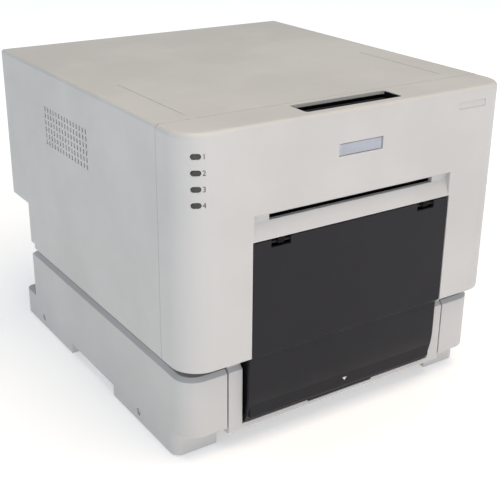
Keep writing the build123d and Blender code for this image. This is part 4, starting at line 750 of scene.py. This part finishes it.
@dataclass
class LampRow:
    """Four oval lamps on the rounded left corner of the door, with plain numbers beside them.

    The angle is the lamps' place around the corner, mark_start is how far around it the numbers begin,
    and skirt and root are how deep a lens goes behind the corner's surface.
    """

    finishes: Finishes
    count: int = 4
    corner_radius: float = 24 * MM
    angle: float = radians(28.6)
    long_half: float = 3.85 * MM
    short_half: float = 2.05 * MM
    dome: float = 0.45 * MM
    skirt: float = 1.0 * MM
    root: float = 4.0 * MM
    mark_height: float = 4.2 * MM
    mark_start: float = 7.3 * MM
    proud: float = 0.02 * MM

    def centres(self) -> tuple[np.ndarray, np.ndarray, np.ndarray]:
        """Find where the lamps stand on the corner's surface.

        Returns:
            The lamps' centres, their outward direction and their sideways direction.
        """
        low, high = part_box("led_lenses")
        cover_low, _cover_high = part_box("front_cover")
        axis = np.array([cover_low.x + self.corner_radius, cover_low.y + self.corner_radius, 0.0])
        out = np.array([-sin(self.angle), -cos(self.angle), 0.0])
        side = np.array([cos(self.angle), -sin(self.angle), 0.0])
        z = np.linspace(high.z - self.short_half, low.z + self.short_half, self.count)
        return axis + out * self.corner_radius + z[:, None] * UP, out, side

    def lens(self, centre: np.ndarray, out: np.ndarray, side: np.ndarray) -> tuple[np.ndarray, np.ndarray]:
        """One lens: rings of a bar with round ends, bent onto the corner.

        With a half length a and a half height b, the ring at share s runs through the points
        s ((a - b) sign(cos t) + b cos t) along the bar and s b sin t up it. Its height is
        dome (1 - s^4), less the sag of the corner's round at that distance along.

        Args:
            centre: The lens's middle on the surface.
            out: The outward direction there.
            side: The direction along the lens's length.

        Returns:
            Points and quads.
        """
        face = np.linspace(0.02, 1.0, 9)
        share = np.concatenate([face, [1.0, 0.98]])
        height = np.concatenate([self.dome * (1 - face ** 4), [-self.skirt, -self.root]])
        turn = np.linspace(0, 2 * pi, 48, endpoint=False)
        run = self.long_half - self.short_half
        along = share[:, None] * (np.sign(np.cos(turn)) * run + self.short_half * np.cos(turn))[None]
        across = share[:, None] * (self.short_half * np.sin(turn))[None]
        sag = self.corner_radius - np.sqrt(self.corner_radius ** 2 - along ** 2)
        points = (centre + along[..., None] * side + across[..., None] * UP
                  + (height[:, None] - sag)[..., None] * out)
        return points, Surfaces.grid_faces(len(share), len(turn))

    def build(self) -> list[str]:
        """Make the lenses and the numbers.

        Returns:
            The names of the pieces.
        """
        centres, out, side = self.centres()
        lens = Surfaces.make("lamp_lenses", *Surfaces.join([self.lens(c, out, side) for c in centres]))
        turn_outward(lens)
        dress(lens, self.finishes.made["lens_smoke"])
        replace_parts(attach(lens, "front_door"), "led_lenses")
        return [lens.name, *self.numbers(centres)]

    def numbers(self, centres: np.ndarray) -> list[str]:
        """Thin plain numbers beside the lamps, bent around the door's corner.

        A point at arc length s beyond the corner's start goes to the angle s / r on the corner.

        Args:
            centres: The lamps' centres.

        Returns:
            The names of the pieces.
        """
        low, _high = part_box("front_cover")
        axis = np.array([low.x, low.y]) + self.corner_radius
        ink = MouldedPlastic("mark_ink", (0.10, 0.10, 0.11), (0.10, 0.10, 0.11), roughness=0.55).build()
        names = []
        for number, centre in enumerate(centres, 1):
            at = Vector((axis[0] - self.mark_start, low.y - self.proud, centre[2] - self.mark_height / 2))
            mark = raised_text(f"lamp_number_{number}", str(number), self.mark_height, at)
            points = mesh_points(mark.data)
            arc = np.maximum(axis[0] - points[:, 0], 0.0) / self.corner_radius
            reach = self.corner_radius + low.y - points[:, 1]
            past = np.maximum(points[:, 0] - axis[0], 0.0)
            points[:, 0] = axis[0] - reach * np.sin(arc) + past
            points[:, 1] = axis[1] - reach * np.cos(arc)
            mark.data.vertices.foreach_set("co", points.ravel())
            mark.data.update()
            dress(mark, ink)
            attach(mark, "front_door")
            names.append(mark.name)
        return names


def mesh_points(mesh: bpy.types.Mesh) -> np.ndarray:
    """All points of a mesh.

    Args:
        mesh: The mesh.

    Returns:
        An array of points, n by 3.
    """
    points = np.empty(len(mesh.vertices) * 3)
    mesh.vertices.foreach_get("co", points)
    return points.reshape(-1, 3)


def raised_text(name: str, text: str, height: float, at: Vector) -> bpy.types.Object:
    """Thin upright characters facing -Y, as a mesh.

    Args:
        name: The object's name.
        text: The characters.
        height: Their height in metres.
        at: Their lower left corner on the surface.

    Returns:
        The mesh object, at the origin.
    """
    curve = bpy.data.curves.new(name, "FONT")
    curve.body = text
    curve.size = height * TEXT_SIZE
    curve.extrude = TEXT_DEPTH
    curve.resolution_u = 6
    made = bpy.data.objects.new(name, curve)
    bpy.context.scene.collection.objects.link(made)
    bpy.context.view_layer.update()
    mesh = bpy.data.meshes.new_from_object(made)
    bpy.data.objects.remove(made)
    mesh.name = name
    mesh.transform(Matrix.Translation(at) @ Euler((pi / 2, 0, 0)).to_matrix().to_4x4())
    thing = bpy.data.objects.new(name, mesh)
    bpy.context.scene.collection.objects.link(thing)
    return thing


def turn_outward(thing: bpy.types.Object) -> None:
    """Merge doubled points and make the faces point outwards.

    Args:
        thing: A mesh object that stands at the origin.
    """
    work = bmesh.new()
    work.from_mesh(thing.data)
    bmesh.ops.remove_doubles(work, verts=work.verts, dist=MERGE)
    holes = [e for e in work.edges if e.is_boundary]
    if holes:
        bmesh.ops.holes_fill(work, edges=holes, sides=0)
    bmesh.ops.recalc_face_normals(work, faces=work.faces)
    work.to_mesh(thing.data)
    work.free()


@dataclass
class Badge:
    """A blank satin plate in the door's pocket, hollow along its length, with sloped ends."""

    finishes: Finishes
    hollow: float = 0.3 * MM
    rim: float = 0.35 * MM
    end_bevel: float = 1.4 * MM
    end_slope: float = 0.35
    seat: float = 0.05 * MM

    def build(self) -> list[str]:
        """Make the plate over u along it and v up it.

        Its depth is hollow (1 - (2u - 1)^2), plus rim (1 - d / rim)^2 within a distance d of rim from
        the edge, plus a slope that falls away evenly over the last end_bevel at both ends.

        Returns:
            The name of the piece.
        """
        low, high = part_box("badge_plate")
        u = np.linspace(0, 1, 81)
        v = np.linspace(0, 1, 25)
        uu, vv = np.meshgrid(u, v, indexing="ij")
        to_end = np.minimum(uu, 1 - uu) * (high.x - low.x)
        to_side = np.minimum(vv, 1 - vv) * (high.z - low.z)
        roll = np.clip(1 - np.minimum(to_end, to_side) / self.rim, 0, 1) ** 2 * self.rim
        slope = np.clip(1 - to_end / self.end_bevel, 0, 1) * self.end_bevel * self.end_slope
        y = low.y + self.seat + self.hollow * (1 - (2 * uu - 1) ** 2) + roll + slope
        face = np.stack([low.x + uu * (high.x - low.x), y, low.z + vv * (high.z - low.z)], -1)
        plate = Surfaces.make("badge_face", face, Surfaces.grid_faces(len(u), len(v), wrap=False))
        turn_outward(plate)
        dress(plate, self.finishes.made["badge_satin"])
        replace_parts(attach(plate, "front_door"), "badge_plate")
        return [plate.name]


@dataclass
class PressMark:
    """The plain arrowhead near the foot of the scrap box."""

    node: bpy.types.Object
    width: float = 4.6 * MM
    height: float = 3.0 * MM
    z: float = 37.5 * MM
    thick: float = 0.12 * MM

    def build(self) -> list[str]:
        """Make a thin three-cornered plate whose corners lie on the panel, found by rays from the front.

        Returns:
            The name of the piece.
        """
        turned = self.node.matrix_world.inverted()
        corners = []
        for across, up in ((-0.5, 0.5), (0.5, 0.5), (0.0, -0.5)):
            start = Vector((across * self.width, -1.0, self.z + up * self.height))
            _hit, where, _normal, _face = self.node.ray_cast(turned @ start, Vector((0, 1, 0)))
            corners.append(list(self.node.matrix_world @ where))
        face = np.array(corners) - np.array([0, self.thick, 0])
        back = face + np.array([0, 2 * self.thick, 0])
        faces = [(0, 1, 2), (5, 4, 3), (0, 3, 4, 1), (1, 4, 5, 2), (2, 5, 3, 0)]
        mesh = bpy.data.meshes.new("press_mark")
        mesh.from_pydata(np.concatenate([face, back]).tolist(), [], faces)
        mark = bpy.data.objects.new("press_mark", mesh)
        bpy.context.scene.collection.objects.link(mark)
        turn_outward(mark)
        dress(mark, MouldedPlastic("mark_white", (0.75, 0.75, 0.75), (0.8, 0.8, 0.8), roughness=0.5).build())
        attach(mark, "scrap_box")
        return [mark.name]


@dataclass
class CrossScrews:
    """Domed screw heads with a cross recess, in the base's sides and on the rear panel.

    reach and arm are the cross's half length and half width, as shares of the radius. Points of the
    solid screws less than apart radii from each other belong to the same screw.
    """

    finishes: Finishes
    node: bpy.types.Object
    radius: float = 3.0 * MM
    dome: float = 0.7 * MM
    thick: float = 1.2 * MM
    cross_depth: float = 0.9 * MM
    sink: float = 0.6 * MM
    reach: float = 0.62
    arm: float = 0.19
    apart: float = 4.0

    def head(self, centre: np.ndarray, axis: np.ndarray) -> tuple[np.ndarray, np.ndarray]:
        """One head: height thick + dome (1 - s^2), less a cross where |x| or |y| is small.

        Args:
            centre: The middle of the head's inner face.
            axis: The outward direction.

        Returns:
            Points and quads.
        """
        side = np.cross(UP, axis)
        share = np.concatenate([np.linspace(0.01, 1.0, 15), [1.0]])
        turn = np.linspace(0, 2 * pi, 64, endpoint=False)
        x = share[:, None] * np.cos(turn)[None] * self.radius
        y = share[:, None] * np.sin(turn)[None] * self.radius
        arm = self.arm * self.radius
        cross = ((np.abs(x) < arm) | (np.abs(y) < arm)) & (np.hypot(x, y) < self.reach * self.radius)
        height = self.thick + self.dome * (1 - share[:, None] ** 2) - cross * self.cross_depth
        height[-1] = 0.0
        points = centre + x[..., None] * side + y[..., None] * UP + height[..., None] * axis
        return points, Surfaces.grid_faces(len(share), len(turn))

    def build(self) -> list[str]:
        """Put a head where each solid screw is.

        Returns:
            The name of the piece.
        """
        heads = []
        left = mesh_points(self.node.data)
        while len(left):
            near = np.linalg.norm(left - left[0], axis=1) < self.apart * self.radius
            low, high = left[near].min(0), left[near].max(0)
            left = left[~near]
            middle = (low + high) / 2
            if high[0] - low[0] < high[1] - low[1]:
                axis = np.array([np.sign(middle[0]), 0.0, 0.0])
            else:
                axis = np.array([0.0, 1.0, 0.0])
            heads.append(self.head(middle - axis * self.sink, axis))
        screws = Surfaces.make("cross_screws", *Surfaces.join(heads))
        turn_outward(screws)
        dress(screws, self.finishes.made["screw_steel"])
        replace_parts(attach(screws, "chassis"), "case_screws")
        return [screws.name]


@dataclass
class FanGuard:
    """Round wire rings and cross wires over the fan."""

    finishes: Finishes
    radii: tuple[float, ...] = (9.2 * MM, 16.2 * MM, 23.2 * MM, 30.2 * MM)
    wire: float = 0.8 * MM
    sides: int = 10

    def build(self) -> list[str]:
        """Make rings on one centre, centre + r (cos t, 0, sin t), and two straight wires across them.

        Returns:
            The name of the piece.
        """
        low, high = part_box("fan_guard")
        centre = np.array([(low.x + high.x) / 2, low.y + self.wire, (low.z + high.z) / 2])
        turn = np.linspace(0, 2 * pi, 72, endpoint=False)
        circle = np.stack([np.cos(turn), np.zeros_like(turn), np.sin(turn)], -1)
        parts = [Surfaces.tube(centre + r * circle, self.wire, self.sides) for r in self.radii]
        share = np.linspace(-1, 1, 9)[:, None]
        for angle in (pi / 4, -pi / 4):
            across = np.array([cos(angle), 0.0, sin(angle)])
            line = centre + share * across * self.radii[-1]
            parts.append(Surfaces.tube(line, self.wire, self.sides, closed=False))
        guard = Surfaces.make("wire_guard", *Surfaces.join(parts))
        turn_outward(guard)
        dress(guard, self.finishes.made["screw_steel"])
        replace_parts(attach(guard, "chassis"), "fan_guard")
        return [guard.name]


@dataclass(frozen=True)
class SoftLight:
    """One soft square light: where it hangs, what it faces, its side in metres, its power and colour."""

    name: str
    at: Triple
    aim: Triple
    size: float
    watts: float
    colour: Colour

    def build(self) -> None:
        """Hang the light."""
        data = bpy.data.lights.new(self.name, "AREA")
        data.size = self.size
        data.energy = self.watts
        data.color = self.colour
        light = bpy.data.objects.new(self.name, data)
        light.location = self.at
        light.rotation_euler = (Vector(self.aim) - Vector(self.at)).to_track_quat("-Z", "Y").to_euler()
        bpy.context.scene.collection.objects.link(light)


@dataclass
class Studio:
    """The pale floor, the soft lights and the camera at the photograph's angle."""

    camera_at: Triple = (-0.4725012, -0.7300333, 0.4685403)
    azimuth: float = 0.5866
    elevation: float = 0.3917
    roll: float = 0.0104
    focal_px: float = 962.2143
    width_px: float = 500.0
    sensor_mm: float = 36.0
    clip: tuple[float, float] = (0.02, 50.0)
    floor_half: float = 6.0
    world_colour: Colour = (0.72, 0.86, 1.0)
    world_strength: float = 0.41
    lights: tuple[SoftLight, ...] = (
        SoftLight("key", (0.35, -1.9, 0.35), (0, 0, 0.15), 0.9, 4.5, (1.0, 0.82, 0.84)),
        SoftLight("top", (0.1, -0.5, 1.8), (0, 0, 0.2), 1.4, 23.5, (1.0, 0.84, 0.66)),
        SoftLight("left", (-1.0, -1.7, 0.55), (0, 0, 0.15), 0.8, 4.7, (0.82, 0.87, 1.0)),
        SoftLight("rim", (-1.7, -0.2, 0.95), (-0.1, 0, 0.1), 0.5, 1.1, (0.75, 0.88, 1.0)),
    )

    def camera(self) -> None:
        """Set the camera from its place, turn and focal length in pixels."""
        data = bpy.data.cameras.new("camera")
        data.sensor_fit = "HORIZONTAL"
        data.sensor_width = self.sensor_mm
        data.lens = self.focal_px / self.width_px * self.sensor_mm
        data.clip_start, data.clip_end = self.clip
        ahead = Vector((sin(self.azimuth) * cos(self.elevation), cos(self.azimuth) * cos(self.elevation),
                        -sin(self.elevation)))
        right = Vector((cos(self.azimuth), -sin(self.azimuth), 0))
        up = right.cross(ahead)
        turned_right = cos(self.roll) * right + sin(self.roll) * up
        turned_up = -sin(self.roll) * right + cos(self.roll) * up
        turn = Matrix((turned_right, turned_up, -ahead)).transposed()
        camera = bpy.data.objects.new("camera", data)
        camera.matrix_world = Matrix.Translation(self.camera_at) @ turn.to_4x4()
        bpy.context.scene.collection.objects.link(camera)
        bpy.context.scene.camera = camera

    def build(self) -> None:
        """Make the floor, the world, the lights and the camera."""
        corners = np.array([[-1, -1, 0], [1, -1, 0], [1, 1, 0], [-1, 1, 0]]) * self.floor_half
        floor = Surfaces.make("floor", corners, np.array([[0, 1, 2, 3]]), smooth=False)
        dress(floor, StudioFloor().build())
        floor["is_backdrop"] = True
        world = bpy.data.worlds.new("studio")
        world.use_nodes = True
        background = world.node_tree.nodes["Background"]
        background.inputs["Color"].default_value = (*self.world_colour, 1)
        background.inputs["Strength"].default_value = self.world_strength
        scene = bpy.context.scene
        scene.world = world
        scene.view_settings.view_transform = "Standard"
        for light in self.lights:
            light.build()
        self.camera()


def main() -> list:
    """Dress the printer in order.
    """
    logging.basicConfig(level=logging.INFO, format="%(message)s")
    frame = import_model()
    cad_box = [list(corner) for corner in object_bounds()]
    Studio().build()
    finishes = Finishes()
    finishes.build()
    finishes.apply(frame)
    nodes = frame["nodes"]
    makers = (LampRow(finishes), Badge(finishes), FanGuard(finishes), PressMark(nodes["scrap_box"]),
              CrossScrews(finishes, nodes["case_screws"]))
    for maker in makers:
        for name in maker.build():
            LOG.info("%s made %s", type(maker).__name__, name)
    return cad_box


if __name__ == "__main__":
    CAD_BOX = main()
